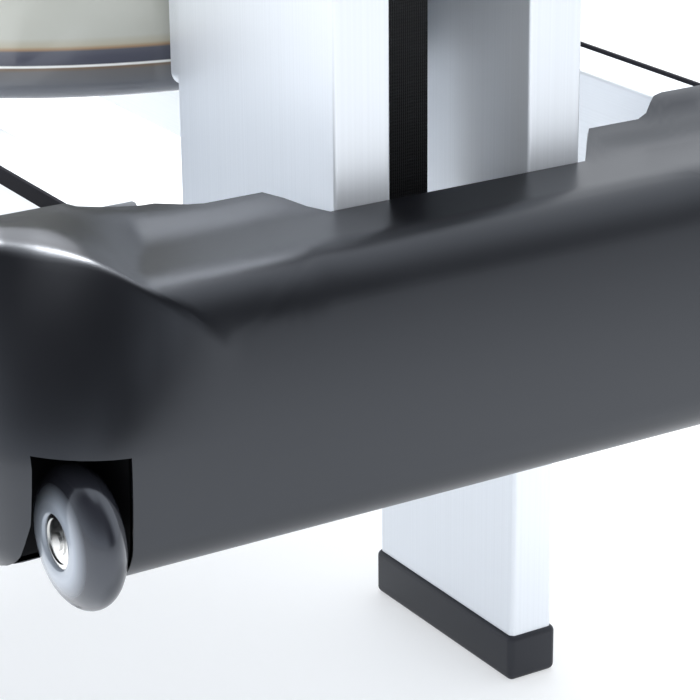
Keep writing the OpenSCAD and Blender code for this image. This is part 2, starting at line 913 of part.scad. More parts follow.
// Bridge from the uprights over the tank. Its round end holds the top of the
// paddle shaft and houses the recoil spring.
module drive_frame() {
    half = 36;
    rib_t = 4;
    roof_z = bridge_z1 - bridge_t;
    color("dimgray")
        at_front()
            difference() {
                union() {
                    block([-up_x1, tube_w, house_z0 + 2], [up_x1, tube_w + plate_t, bridge_z1]);
                    block([-half, tube_w + 1, roof_z], [half, tank_y, bridge_z1]);
                    both_sides()
                        block([half - rib_t, tube_w + 1, house_z0 + 8], [half, tank_y - house_r + house_t + 8, bridge_z1]);
                    translate([0, tank_y, house_z0])
                        cylinder(h = bridge_z1 - house_z0, r = house_r);
                }
                translate([0, tank_y, house_z0 - eps])
                    cylinder(h = roof_z - house_z0 + eps, r = house_r - house_t);
                translate([0, tank_y, roof_z - eps])
                    cylinder(h = bridge_t + 2 * eps, r = shaft_r + fit);
                both_sides()
                    for (z = plate_screw_z)
                        translate([(up_x0 + up_x1) / 2, tube_w - eps, z])
                            rotate([-90, 0, 0])
                                cylinder(h = plate_t + 2 * eps, r = 3 + fit);
            }
}

// Drum with a clutch bore: the strap winds on it, and a sleeve above it
// takes the inner end of the recoil spring
module drum() {
    color("darkslategray")
        at_front()
            translate([0, tank_y, 0])
                difference() {
                    union() {
                        translate([0, 0, drum_z0])
                            cylinder(h = drum_z1 - drum_z0, r = drum_r);
                        translate([0, 0, drum_z0])
                            cylinder(h = drum_lip_t, r = drum_r + 8);
                        translate([0, 0, drum_z1 - drum_lip_t])
                            cylinder(h = drum_lip_t, r = house_r - 2);
                        translate([0, 0, drum_z1 - eps])
                            cylinder(h = bridge_z1 - bridge_t - loose - drum_z1 + eps, r = sleeve_r);
                    }
                    translate([0, 0, drum_z0 - eps])
                        cylinder(h = bridge_z1 - drum_z0, r = shaft_r + fit);
                }
}

// Flat spiral spring between the drum's sleeve and the wall of its housing
module recoil_spring() {
    turns = 5;
    steps = 24 * turns;
    t = 0.8;
    r0 = sleeve_r + touch;
    r1 = house_r - house_t - touch - t;
    color("gray")
        at_front()
            translate([0, tank_y, house_z0 + 5])
                linear_extrude(recoil_w)
                    polygon([for (side = [0, 1], i = [0:steps])
                        let (k = side == 0 ? i : steps - i, r = mix(r0, r1, k / steps) + side * t)
                            [r * cos(15 * k), r * sin(15 * k)]]);
}

// Paddle shaft, from the socket in the tank floor up through the bridge
module impeller_shaft() {
    foot_z = tank_z0 + tank_wall + touch;
    color("silver")
        at_front()
            translate([0, tank_y, 0]) {
                translate([0, 0, foot_z])
                    cylinder(h = bridge_z1 + 1 - foot_z, r = shaft_r);
                translate([0, 0, tank_top_z + loose])
                    cylinder(h = drum_z0 - touch - tank_top_z - loose, r = shaft_r + 3);
                translate([0, 0, bridge_z1 + touch])
                    cylinder(h = 3.5, r = shaft_r + 5);
            }
}

// Four-bladed paddle on the shaft
module impeller() {
    blade_l = 130;
    blade_h = 66;
    blade_z = tank_z0 + tank_wall + 16;
    color("white")
        at_front()
            translate([0, tank_y, blade_z])
                difference() {
                    union() {
                        cylinder(h = blade_h, r = 16);
                        for (a = [0:90:270])
                            rotate([0, 0, a])
                                block([0, -2, 0], [blade_l, 2, blade_h]);
                    }
                    translate([0, 0, -eps])
                        cylinder(h = blade_h + 2 * eps, r = shaft_r + fit / 5);
                }
}

// Half section of a tank shell: flat end, round edge, wall and flange
function shell_side(r, edge, h) = concat(
    [[0, 0]],
    [for (a = [-90:10:0]) [r - edge + edge * cos(a), edge + edge * sin(a)]],
    [[r, h]]);

module tank_shell(h, edge, seal) {
    inner_r = tank_r - tank_wall;
    difference() {
        rotate_extrude($fn = 128)
            difference() {
                union() {
                    polygon(concat(shell_side(tank_r, edge, h), [[0, h]]));
                    translate([0, h - flange_t])
                        square([tank_r + tank_flange, flange_t]);
                }
                translate([0, tank_wall])
                    polygon(concat(shell_side(inner_r, edge - tank_wall, h), [[0, h]]));
            }
        if (seal)
            translate([0, 0, -eps])
                cylinder(h = tank_wall + 2 * eps, r = shaft_r + fit);
        for (i = [0:screw_n - 1])
            rotate([0, 0, (i + 0.5) * 360 / screw_n])
                translate([tank_r + tank_flange / 2, 0, h - flange_t - eps])
                    cylinder(h = flange_t + 2 * eps, r = 1.6);
    }
}

module tank_lower() {
    color("lightyellow", 0.6)
        at_front()
            translate([0, tank_y, tank_z0])
                difference() {
                    union() {
                        tank_shell(tank_low_h, tank_edge_r, false);
                        translate([0, 0, tank_wall - eps])
                            cylinder(h = 10 + eps, r = shaft_r + 8);
                    }
                    translate([0, 0, tank_wall])
                        cylinder(h = 20, r = shaft_r + fit);
                }
}

// Upper half of the tank, turned over, with a filling hole
plug_r = 16;
plug_y = 130;
module tank_upper() {
    color("lightyellow", 0.6)
        at_front()
            translate([0, tank_y, tank_top_z])
                difference() {
                    mirror([0, 0, 1])
                        tank_shell(tank_up_h, 3 * tank_edge_r, true);
                    translate([0, plug_y, -2 * tank_wall])
                        cylinder(h = 3 * tank_wall, r = plug_r);
                }
}

module tank_gasket() {
    color("black")
        at_front()
            translate([0, tank_y, flange_z])
                difference() {
                    cylinder(h = gasket_t, r = tank_r + tank_flange, $fn = 128);
                    translate([0, 0, -eps])
                        cylinder(h = gasket_t + 2 * eps, r = tank_r - tank_wall, $fn = 128);
                    for (i = [0:screw_n - 1])
                        rotate([0, 0, (i + 0.5) * 360 / screw_n])
                            translate([tank_r + tank_flange / 2, 0, -eps])
                                cylinder(h = gasket_t + 2 * eps, r = 1.6);
                }
}

module tank_screws() {
    z0 = flange_z - flange_t;
    z1 = upper_z + flange_t;
    color("silver")
        at_front()
            translate([0, tank_y, 0])
                for (i = [0:screw_n - 1])
                    rotate([0, 0, (i + 0.5) * 360 / screw_n])
                        translate([tank_r + tank_flange / 2, 0, 0]) {
                            translate([0, 0, z0 - 2.4])
                                cylinder(h = z1 - z0 + 4, r = 1.5, $fn = 24);
                            translate([0, 0, z1])
                                cylinder(h = 2, r = 2.7, $fn = 24);
                            translate([0, 0, z0 - 2.4])
                                cylinder(h = 2.4, r = 2.7, $fn = 6);
                        }
}

module tank_plug() {
    color("black")
        at_front()
            translate([0, tank_y + plug_y, tank_top_z]) {
                translate([0, 0, -tank_wall - 6])
                    cylinder(h = tank_wall + 6 + eps, r = plug_r - 0.2);
                cylinder(h = 6, r = plug_r + 6);
            }
}

// Rubber pads between the rail tops and the tank
module tank_pads() {
    half = 110;
    color("black")
        at_front()
            both_sides()
                block([rail_x0 + 4, tank_y + 20 - half, rail_top_z], [rail_x1 - 4, tank_y + 20 + half, tank_z0]);
}

// Angle brackets that hold the tank flange from the rails
module tank_brackets() {
    t = bracket_t;
    half = 30;
    x1 = tank_r + tank_flange + 3;
    color("dimgray")
        at_front()
            both_sides()
                difference() {
                    union() {
                        block([rail_x1, tank_y - half, rail_z0 + 40], [rail_x1 + t, tank_y + half, rail_z0 + 90]);
                        block([rail_x1, tank_y - half, rail_z0 + 86], [x1 + t, tank_y + half, rail_z0 + 90]);
                        block([x1, tank_y - half, rail_z0 + 86], [x1 + t, tank_y + half, upper_z + flange_t + 6]);
                        block([tank_r + 1.5, tank_y - half, upper_z + flange_t + 2.4],
                            [x1 + t, tank_y + half, upper_z + flange_t + 6]);
                    }
                    for (b = tank_bolts)
                        rod_x(rail_x1 - eps, rail_x1 + t + eps, bolt_hole, b[0], b[1]);
                }
}

module on_board() {
    translate([0, board_y, board_z])
        rotate([-board_angle, 0, 0])
            children();
}

module footboard() {
    color("lightgray")
        at_front()
            on_board()
                difference() {
                    block([-board_half, 0, -board_t], [board_half, board_l, 0]);
                    both_sides()
                        for (x = [foot_x - 38, foot_x + 38])
                            block([x - 2, heel_y0 - 60, -board_t - eps], [x + 2, board_l - 20, eps]);
                }
}
heel_y0 = 200;
heel_move = 35;

// Side plates that hold the footboard between the rails
module footboard_stays() {
    c = cos(board_angle);
    s = sin(board_angle);
    foot_y = board_y + board_l * c;
    foot_z = board_z - board_l * s;
    color("dimgray")
        at_front()
            both_sides()
                difference() {
                    translate([board_half, 0, 0])
                        rotate([90, 0, 90])
                            linear_extrude(stay_t)
                                polygon([[board_y, board_z], [foot_y, foot_z], [foot_y - 10, rail_z0 + 20],
                                    [stay_mid_y - 60, rail_z0 + 20], [board_y - 24 * s, board_z - 24 * c]]);
                    for (b = stay_bolts)
                        rod_x(board_half - eps, rail_x0 + eps, bolt_hole, b[0], b[1]);
                }
}

// Heel rest with a curved heel cup; a tongue runs in two slots of the board
module heel_rest(x) {
    w = 88;
    t = 4;
    l = 80;
    cup_h = 34;
    translate([x, heel_y0, 0.2]) {
        block([-w / 2, -l + w / 2, 0], [w / 2, w / 2 - 10, t]);
        intersection() {
            difference() {
                cylinder(h = cup_h, r = w / 2);
                translate([0, 0, t])
                    cylinder(h = cup_h, r = w / 2 - 4);
            }
            block([-w, 0, 0], [w, w, cup_h]);
        }
        for (sx = [-1, 1])
            block([sx * 38 - 1.6, -20, -board_t - 3], [sx * 38 + 1.6, 20, eps]);
    }
}

module heel_rest_left() {
    color("black")
        at_front()
            on_board()
                heel_rest(-foot_x);
}

module heel_rest_right() {
    color("black")
        at_front()
            on_board()
                heel_rest(foot_x);
}

// Webbing straps over the feet
module foot_straps() {
    r = 50;
    w = 38;
    color("dimgray")
        at_front()
            on_board()
                both_sides()
                    translate([foot_x, 95, 0.05])
                        rotate([90, 0, 0])
                            rotate_extrude(angle = 180)
                                translate([r, -w / 2])
                                    square([2, w]);
}

// Mast behind the top of the board, with the monitor pin and two handle rests
arm_x = 96;
module console_frame() {
    t = 5;
    arm_w = 8;
    rest_z = handle_z - handle_r - 0.3;
    stop_y = handle_y - handle_r - 0.5;
    color("dimgray")
        at_front()
            difference() {
                union() {
                    on_board()
                        block([-arm_x - arm_w - 4, 2, -board_t - t], [arm_x + arm_w + 4, 40, -board_t]);
                    both_sides() {
                        translate([arm_x, 0, 0])
                            rotate([90, 0, 90])
                                linear_extrude(arm_w)
                                    polygon([[board_y - 14, board_z - 12], [board_y - 2, board_z - 28],
                                        [board_y + 4, board_z + 3], [handle_y + 16, rest_z - 16],
                                        [handle_y + 16, rest_z], [stop_y, rest_z], [stop_y, handle_z + 2],
                                        [stop_y - 10, handle_z + 2], [stop_y - 12, rest_z - 14]]);
                        translate([mast_x, 0, 0])
                            rotate([90, 0, 90])
                                linear_extrude(5)
                                    polygon([[board_y - 14, board_z - 12], [board_y - 2, board_z - 24],
                                        [pivot_y + 8, pivot_z - 6], [pivot_y + 8, pivot_z + 6],
                                        [pivot_y - 6, pivot_z + 7]]);
                    }
                    rod_x(-mast_x - 8, mast_x + 8, pin_r, pivot_y, pivot_z);
                }
                on_board()
                    block([-rail_x0, -0.3, -board_t - touch], [rail_x0, 60, 0.3]);
            }
}
mast_x = 16;

// Monitor about its pivot pin: the face looks up and to the rear
module at_pivot() {
    translate([0, pivot_y, pivot_z])
        rotate([-board_angle, 0, 0])
            children();
}
face_z = 36;
button_h = 3;
button_r = 6;
button_y = 23;
button_dx = 34;

module monitor_body() {
    w = mon_w / 2;
    l = mon_l / 2;
    color("dimgray")
        at_front()
            at_pivot()
                difference() {
                    union() {
                        translate([0, 0, face_z - mon_t])
                            linear_extrude(mon_t)
                                rrect(mon_w, mon_l, 8);
                        both_sides()
                            rotate([0, 90, 0])
                                translate([0, 0, mast_x + 5 + loose]) {
                                    cylinder(h = 7, r = 9);
                                    block([-face_z + mon_t - 4, -9, 0], [0, 9, 7]);
                                }
                    }
                    rod_x(-w, w, pin_r + fit, 0, 0);
                    translate([0, -9, face_z - lens_t])
                        linear_extrude(lens_t + eps)
                            rrect(mon_w - 20 + 0.2, 40.2, 3.1);
                    for (i = [-1:1])
                        translate([i * button_dx, button_y, face_z - 6])
                            cylinder(h = 6 + eps, r = button_r + fit);
                }
}

module monitor_lens() {
    color("darkseagreen")
        at_front()
            at_pivot()
                translate([0, -9, face_z - lens_t])
                    linear_extrude(lens_t + 0.3)
                        rrect(mon_w - 20, 40, 3);
}

module monitor_button(i) {
    travel = 1.5;
    color("silver")
        at_front()
            at_pivot()
                translate([i * button_dx, button_y, face_z - 6 + travel + 0.3])
                    cylinder(h = 6 - travel - 0.3 + button_h, r = button_r);
}

module button_left() {
    monitor_button(-1);
}

module button_middle() {
    monitor_button(0);
}

module button_right() {
    monitor_button(1);
}

module handle_bar() {
    color("burlywood")
        at_front()
            rod_x(-handle_l / 2 + 2, handle_l / 2 - 2, core_r, handle_y, handle_z);
}

module handle_grips() {
    grip_l = 160;
    color("black")
        at_front()
            both_sides()
                difference() {
                    rod_x(handle_l / 2 - grip_l, handle_l / 2, handle_r, handle_y, handle_z);
                    rod_x(handle_l / 2 - grip_l - eps, handle_l / 2 - 2, core_r + 0.02, handle_y, handle_z);
                }
}

// Yoke that joins the strap to the handle
module handle_yoke() {
    half = 18;
    color("dimgray")
        at_front()
            difference() {
                union() {
                    rod_x(-half, half, core_r + 5, handle_y, handle_z);
                    block([-half, handle_y - yoke_l, handle_z - 5], [half, handle_y, handle_z + 5]);
                }
                rod_x(-half - eps, half + eps, core_r + 0.02, handle_y, handle_z);
            }
}

// Rolling seat frame: a deck over the rails with side cheeks and glides
module seat_carriage() {
    drop = 34;
    slot_w = 2;
    color("dimgray")
        at_front()
            translate([0, seat_y, 0])
                difference() {
                    union() {
                        block([-cheek_x, -seat_half_l, deck_z], [cheek_x, seat_half_l, deck_z + deck_t]);
                        both_sides() {
                            block([cheek_x - cheek_t, -seat_half_l, roller_z - drop],
                                [cheek_x, seat_half_l, deck_z + deck_t]);
                            for (y = [-seat_half_l + 5, seat_half_l - 35])
                                block([cheek_x - 1, y, rail_top_z - 14], [rail_x0 - loose, y + 30, rail_top_z - 4]);
                        }
                    }
                    for (y = [-roller_dy, roller_dy])
                        rod_x(-rail_x0, rail_x0, axle_r + fit, y, roller_z);
                }
}

module seat_axles() {
    color("silver")
        at_front()
            for (y = [-roller_dy, roller_dy]) {
                rod_x(-roller_x - roller_w / 2 - 5, roller_x + roller_w / 2 + 5, axle_r, seat_y + y, roller_z);
                both_sides()
                    rod_x(roller_x + roller_w / 2 + loose, roller_x + roller_w / 2 + 3.5, 8, seat_y + y, roller_z);
            }
}

module rollers(y) {
    both_sides()
        translate([roller_x, seat_y + y, roller_z])
            rotate([0, 90, 0])
                difference() {
                    cylinder(h = roller_w, r = roller_r - 0.05, center = true);
                    cylinder(h = roller_w + 2, r = axle_r + fit, center = true);
                }
}

module seat_rollers_front() {
    color("black")
        at_front()
            rollers(-roller_dy);
}

module seat_rollers_rear() {
    color("black")
        at_front()
            rollers(roller_dy);
}

// Seat cushion: a rounded pad with a raised rim and two shallow hollows
cushion_a = 142;
cushion_b = 112;
cushion_e = 3.2;
function super_r(a) =
    pow(pow(abs(cos(a)) / cushion_a, cushion_e) + pow(abs(sin(a)) / cushion_b, cushion_e), -1 / cushion_e);
function dish(x, y) =
    let (u = (abs(x) - 58) / 52, v = (y - 12) / 62)
        9 * exp(-u * u - v * v);
function cushion_ring(s, z, dish_on) =
    [for (a = [0:7.5:352.5])
        let (r = super_r(a) * s, x = r * cos(a), y = r * sin(a))
            [x, y, z - (dish_on ? dish(x, y) : 0)]];

module seat_cushion() {
    z0 = deck_z + deck_t;
    h = seat_top_z - z0;
    color("black")
        at_front()
            translate([0, seat_y, 0])
                loft(concat(
                    [cushion_ring(0.90, z0, false), cushion_ring(0.985, z0 + 5, false),
                        cushion_ring(1, z0 + h * 0.35, false)],
                    [for (a = [15:15:75])
                        cushion_ring(0.9 + 0.1 * cos(a), z0 + h * 0.35 + h * 0.62 * sin(a), false)],
                    [for (s = [0.88, 0.78, 0.66, 0.54, 0.42, 0.3, 0.18, 0.06])
                        cushion_ring(s, seat_top_z - 1.2 * (1 - s), true)]));
}

rail_left();
rail_right();
rail_strips();
rail_end_caps();
upright_left();
upright_right();
upright_cap();
front_beam();
rear_beam();
upright_brackets();
front_plate();
legs();
foot_caps();
frame_bolts();
bumper_shell();
bumper_stay();
castor_arms();
castor_axles();
castor_wheel_left();
castor_wheel_right();
castor_bearing_left();
castor_bearing_right();
top_pulley();
idler_pulley();
pulley_axles();
lower_pulley();
lower_pulley_bracket();
drive_strap();
handle_strap();
drive_frame();
drum();
recoil_spring();
impeller_shaft();
impeller();
tank_lower();
tank_upper();
tank_gasket();
tank_screws();
tank_plug();
tank_pads();
tank_brackets();
footboard();
footboard_stays();
heel_rest_left();
heel_rest_right();
foot_straps();
console_frame();
monitor_body();
monitor_lens();
button_left();
button_middle();
button_right();
handle_bar();
handle_grips();
handle_yoke();
seat_carriage();
seat_axles();
seat_rollers_front();
seat_rollers_rear();
seat_cushion();
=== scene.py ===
"""Looks of a water rowing machine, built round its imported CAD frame."""
import logging
import math
from collections.abc import Callable, Iterable, Sequence
from dataclasses import dataclass, field
from enum import Enum
from typing import NamedTuple

import bpy
from mathutils import Matrix, Vector


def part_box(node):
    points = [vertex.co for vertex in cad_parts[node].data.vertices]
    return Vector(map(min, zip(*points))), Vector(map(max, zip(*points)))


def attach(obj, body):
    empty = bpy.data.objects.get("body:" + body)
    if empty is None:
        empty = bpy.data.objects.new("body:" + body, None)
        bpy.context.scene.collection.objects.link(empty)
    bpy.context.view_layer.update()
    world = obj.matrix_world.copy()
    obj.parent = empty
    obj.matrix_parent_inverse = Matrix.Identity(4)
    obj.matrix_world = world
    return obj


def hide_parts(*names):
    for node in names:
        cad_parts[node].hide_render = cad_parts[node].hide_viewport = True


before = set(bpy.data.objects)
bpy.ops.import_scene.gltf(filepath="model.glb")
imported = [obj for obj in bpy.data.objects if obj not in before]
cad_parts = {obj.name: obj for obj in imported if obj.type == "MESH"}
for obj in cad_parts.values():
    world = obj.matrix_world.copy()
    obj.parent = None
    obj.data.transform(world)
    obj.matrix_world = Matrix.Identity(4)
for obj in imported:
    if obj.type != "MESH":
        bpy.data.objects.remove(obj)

LOG = logging.getLogger("rowing_machine")
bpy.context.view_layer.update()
MM = 0.001
Colour = tuple[float, float, float]
Point = tuple[float, float, float]
Body = Enum("Body", {"FRAME": "frame", "HANDLE": "handle", "SEAT": "seat", "MONITOR": "monitor"})


class Grain(Enum):
    """Direction that an extruded tube was drawn in."""

    ALONG_X = (2.0, 900.0, 900.0)
    ALONG_Y = (900.0, 2.0, 900.0)
    ALONG_Z = (900.0, 900.0, 2.0)


def linear(r: int, g: int, b: int) -> Colour:
    """Turn a colour as a screen shows it into the linear values that Blender mixes.

    Args:
        r: Red from 0 to 255.
        g: Green from 0 to 255.
        b: Blue from 0 to 255.

    Returns:
        The three linear values.
    """
    return tuple(((v / 255 + 0.055) / 1.055) ** 2.4 if v > 10 else v / 3294.6 for v in (r, g, b))


def mix(a: float, b: float, t: float) -> float:
    """Return the value a share t of the way from a to b."""
    return a + (b - a) * t


def smooth(t: float) -> float:
    """Return an eased share for t, held between 0 and 1."""
    t = min(max(t, 0.0), 1.0)
    return t * t * (3 - 2 * t)


class Wiring:
    """A node tree with short calls for adding and joining nodes."""

    def __init__(self, tree: bpy.types.NodeTree) -> None:
        """Keep the tree that nodes go into."""
        self.tree = tree

    def add(self, kind: str, **values: object) -> bpy.types.Node:
        """Add a node.

        Args:
            kind: The node's type name, without its ShaderNode start.
            values: Properties, or input sockets named with spaces as underscores.

        Returns:
            The new node.
        """
        node = self.tree.nodes.new(kind if kind.startswith("Node") else "ShaderNode" + kind)
        for key, value in values.items():
            socket = node.inputs.get(key.replace("_", " "))
            if hasattr(node, key) and key not in ("color", "height", "width"):
                setattr(node, key, value)
            elif isinstance(value, bpy.types.NodeSocket):
                self.tree.links.new(value, socket)
            elif isinstance(value, tuple) and socket.type == "RGBA":
                socket.default_value = (*value, 1.0)
            else:
                socket.default_value = value
        return node

    def join(self, source: bpy.types.NodeSocket, target: bpy.types.NodeSocket) -> None:
        """Link one socket to another."""
        self.tree.links.new(source, target)

    def math(self, operation: str, a: object, b: object = 0.0) -> bpy.types.NodeSocket:
        """Add a Math node on two sockets or numbers and return its value."""
        node = self.tree.nodes.new("ShaderNodeMath")
        node.operation = operation
        for socket, value in zip(node.inputs, (a, b)):
            if isinstance(value, bpy.types.NodeSocket):
                self.tree.links.new(value, socket)
            else:
                socket.default_value = value
        return node.outputs[0]

    def blend(self, share: object, a: object, b: object) -> bpy.types.NodeSocket:
        """Mix two colours or colour sockets by a share and return the colour."""
        node = self.tree.nodes.new("ShaderNodeMix")
        node.data_type = "RGBA"
        for socket, value in ((node.inputs[0], share), (node.inputs[6], a), (node.inputs[7], b)):
            if isinstance(value, bpy.types.NodeSocket):
                self.tree.links.new(value, socket)
            elif isinstance(value, tuple):
                socket.default_value = (*value, 1.0)
            else:
                socket.default_value = value
        return node.outputs[2]

    def spread(self, value: object, low: float, high: float, a: float, b: float) -> bpy.types.NodeSocket:
        """Map a value from the range low to high onto the range a to b."""
        node = self.add("MapRange", From_Min=low, From_Max=high, To_Min=a, To_Max=b)
        self.tree.links.new(value, node.inputs[0])
        return node.outputs[0]


class Effects:
    """Node groups that several finishes share, each built once."""

    made: dict[str, bpy.types.NodeTree] = {}

    @classmethod
    def group(
        cls, name: str, inputs: dict[str, float], outputs: dict[str, str],
        draw: Callable[[Wiring, bpy.types.Node, bpy.types.Node], None],
    ) -> bpy.types.NodeTree:
        """Return the named group, building it on the first call.

        Args:
            name: Name of the group.
            inputs: Names of its number inputs and their values.
            outputs: Names of its outputs and their socket types.
            draw: Fills the group between its input and output nodes.

        Returns:
            The group's node tree.
        """
        if name not in cls.made:
            tree = bpy.data.node_groups.new(name, "ShaderNodeTree")
            for key, value in inputs.items():
                socket = tree.interface.new_socket(key, in_out="INPUT", socket_type="NodeSocketFloat")
                socket.default_value = value
            for key, kind in outputs.items():
                tree.interface.new_socket(key, in_out="OUTPUT", socket_type=kind)
            wires = Wiring(tree)
            draw(wires, wires.add("NodeGroupInput"), wires.add("NodeGroupOutput"))
            cls.made[name] = tree
        return cls.made[name]

    @classmethod
    def grain(cls) -> bpy.types.NodeTree:
        """Fine moulded grain: a height for bump and a mottled mask."""

        def draw(wires: Wiring, entry: bpy.types.Node, leave: bpy.types.Node) -> None:
            """Draw the grain from two noises."""
            where = wires.add("TexCoord").outputs["Object"]
            fine = wires.add("TexNoise", Vector=where, Scale=entry.outputs["Scale"], Detail=4.0)
            coarse = wires.add("TexNoise", Vector=where, Scale=entry.outputs["Cloud"], Detail=3.0)
            wires.join(fine.outputs["Fac"], leave.inputs["Height"])
            wires.join(wires.spread(coarse.outputs["Fac"], 0.3, 0.7, 0.0, 1.0), leave.inputs["Mottle"])

        return cls.group(
            "moulded grain", {"Scale": 900.0, "Cloud": 9.0},
            {"Height": "NodeSocketFloat", "Mottle": "NodeSocketFloat"}, draw)

    @classmethod
    def draw_lines(cls) -> bpy.types.NodeTree:
        """Faint lines that an extrusion die leaves along a tube."""

        def draw(wires: Wiring, entry: bpy.types.Node, leave: bpy.types.Node) -> None:
            """Draw noise stretched along one axis."""
            where = wires.add("TexCoord").outputs["Object"]
            stretch = wires.add("CombineXYZ", X=entry.outputs["X"], Y=entry.outputs["Y"], Z=entry.outputs["Z"])
            place = wires.add("VectorMath", operation="MULTIPLY")
            wires.join(where, place.inputs[0])
            wires.join(stretch.outputs[0], place.inputs[1])
            lines = wires.add("TexNoise", Vector=place.outputs[0], Scale=1.0, Detail=3.0)
            cloud = wires.add("TexNoise", Vector=where, Scale=6.0, Detail=2.0)
            wires.join(lines.outputs["Fac"], leave.inputs["Height"])
            wires.join(wires.spread(lines.outputs["Fac"], 0.35, 0.65, 0.0, 1.0), leave.inputs["Lines"])
            wires.join(wires.spread(cloud.outputs["Fac"], 0.35, 0.65, 0.0, 1.0), leave.inputs["Cloud"])

        return cls.group(
            "draw lines", {"X": 1.0, "Y": 1.0, "Z": 1.0},
            {"Height": "NodeSocketFloat", "Lines": "NodeSocketFloat", "Cloud": "NodeSocketFloat"}, draw)

    @classmethod
    def weave(cls) -> bpy.types.NodeTree:
        """Ribs of woven webbing: two crossing waves."""

        def draw(wires: Wiring, entry: bpy.types.Node, leave: bpy.types.Node) -> None:
            """Draw the ribs across and the yarns along."""
            where = wires.add("SeparateXYZ")
            wires.join(wires.add("TexCoord").outputs["Object"], where.inputs[0])
            along = wires.math("ADD", where.outputs["Y"], where.outputs["Z"])
            ribs = wires.math("SINE", wires.math("MULTIPLY", along, entry.outputs["Ribs"]))
            yarns = wires.math("SINE", wires.math("MULTIPLY", where.outputs["X"], entry.outputs["Yarns"]))
            height = wires.math("ADD", ribs, wires.math("MULTIPLY", yarns, 0.6))
            wires.join(height, leave.inputs["Height"])
            wires.join(wires.spread(height, -1.6, 1.6, 0.0, 1.0), leave.inputs["Raised"])

        return cls.group(
            "webbing weave", {"Ribs": 3900.0, "Yarns": 5200.0},
            {"Height": "NodeSocketFloat", "Raised": "NodeSocketFloat"}, draw)


@dataclass(frozen=True)
class Finish:
    """A surface finish with its colour and gloss."""

    name: str
    colour: Colour
    rough: float = 0.5

    def start(self, **sockets: object) -> tuple[bpy.types.Material, Wiring, bpy.types.Node]:
        """Make a material with a Principled shader.

        Args:
            sockets: Values of the shader's other sockets, with underscores for spaces.

        Returns:
            The material, its wiring and the shader node.
        """
        material = bpy.data.materials.new(self.name)
        material.use_nodes = True
        wires = Wiring(material.node_tree)
        shader = material.node_tree.nodes["Principled BSDF"]
        shader.inputs["Base Color"].default_value = (*self.colour, 1.0)
        shader.inputs["Roughness"].default_value = self.rough
        material.diffuse_color = (*self.colour, 1.0)
        for key, value in sockets.items():
            shader.inputs[key.replace("_", " ")].default_value = value
        return material, wires, shader

    def effect(self, wires: Wiring, tree: bpy.types.NodeTree, **values: float) -> bpy.types.Node:
        """Place a shared effect in the material with its own values."""
        node = wires.add("Group")
        node.node_tree = tree
        for key, value in values.items():
            node.inputs[key].default_value = value
        return node

    def bump(self, wires: Wiring, shader: bpy.types.Node, height: bpy.types.NodeSocket, depth: float) -> None:
        """Feed a height into the shader's normal, depth in metres."""
        bump = wires.add("Bump", Height=height, Distance=depth, Strength=1.0)
        wires.join(bump.outputs[0], shader.inputs["Normal"])

    def build(self) -> bpy.types.Material:
        """Return the finished material."""
        raise NotImplementedError


@dataclass(frozen=True)
class Moulding(Finish):
    """Moulded plastic or rubber with a fine grain and mottled gloss."""

    grain: float = 900.0
    depth: float = 0.00004
    coat: float = 0.0
    shine: float = 0.5

    def build(self) -> bpy.types.Material:
        """Return the moulding's material."""
        # The bluish specular tint is painted light: it gives every reflection the cool colour of the studio's
        # light.
        material, wires, shader = self.start(
            Coat_Weight=self.coat, Coat_Roughness=0.12, Specular_IOR_Level=self.shine,
            Specular_Tint=(0.86, 0.91, 1.0, 1.0))
        grain = self.effect(wires, Effects.grain(), Scale=self.grain, Cloud=11.0)
        pale = tuple(min(1.0, v * 1.15 + 0.0008) for v in self.colour)
        dark = tuple(v * 0.92 for v in self.colour)
        wires.join(wires.blend(grain.outputs["Mottle"], dark, pale), shader.inputs["Base Color"])
        rough = wires.spread(grain.outputs["Mottle"], 0.0, 1.0, self.rough * 0.93, self.rough * 1.07)
        wires.join(rough, shader.inputs["Roughness"])
        self.bump(wires, shader, grain.outputs["Height"], self.depth)
        return material


@dataclass(frozen=True)
class Tyre(Moulding):
    """Glossy castor wheel whose pale hub fades into its tread, between two radii in metres."""

    axle: tuple[float, float] = (0.0, 0.0)
    hub: Colour = (0.5, 0.5, 0.5)
    fade: tuple[float, float] = (0.0175, 0.0262)

    def build(self) -> bpy.types.Material:
        """Return the wheel's material, shaded by the distance from its axle."""
        material = super().build()
        wires = Wiring(material.node_tree)
        socket = material.node_tree.nodes["Principled BSDF"].inputs["Base Color"]
        where = wires.add("SeparateXYZ")
        wires.join(wires.add("TexCoord").outputs["Object"], where.inputs[0])
        squares = [
            wires.math("POWER", wires.math("SUBTRACT", where.outputs[name], place), 2.0)
            for name, place in zip("YZ", self.axle)]
        out = wires.math("SQRT", wires.math("ADD", *squares))
        share = wires.spread(out, *self.fade, 1.0, 0.0)
        wires.join(wires.blend(share, socket.links[0].from_socket, self.hub), socket)
        return material


@dataclass(frozen=True)
class Extrusion(Finish):
    """Satin anodised aluminium tube with its draw lines."""

    grain: Grain = Grain.ALONG_Y
    depth: float = 0.000012

    def build(self) -> bpy.types.Material:
        """Return the tube's material."""
        material, wires, shader = self.start(Metallic=0.62)
        x, y, z = self.grain.value
        lines = self.effect(wires, Effects.draw_lines(), X=x, Y=y, Z=z)
        dark = tuple(v * 0.965 for v in self.colour)
        wires.join(wires.blend(lines.outputs["Lines"], dark, self.colour), shader.inputs["Base Color"])
        rough = wires.spread(lines.outputs["Cloud"], 0.0, 1.0, self.rough * 0.94, self.rough * 1.06)
        wires.join(rough, shader.inputs["Roughness"])
        self.bump(wires, shader, lines.outputs["Height"], self.depth)
        return material


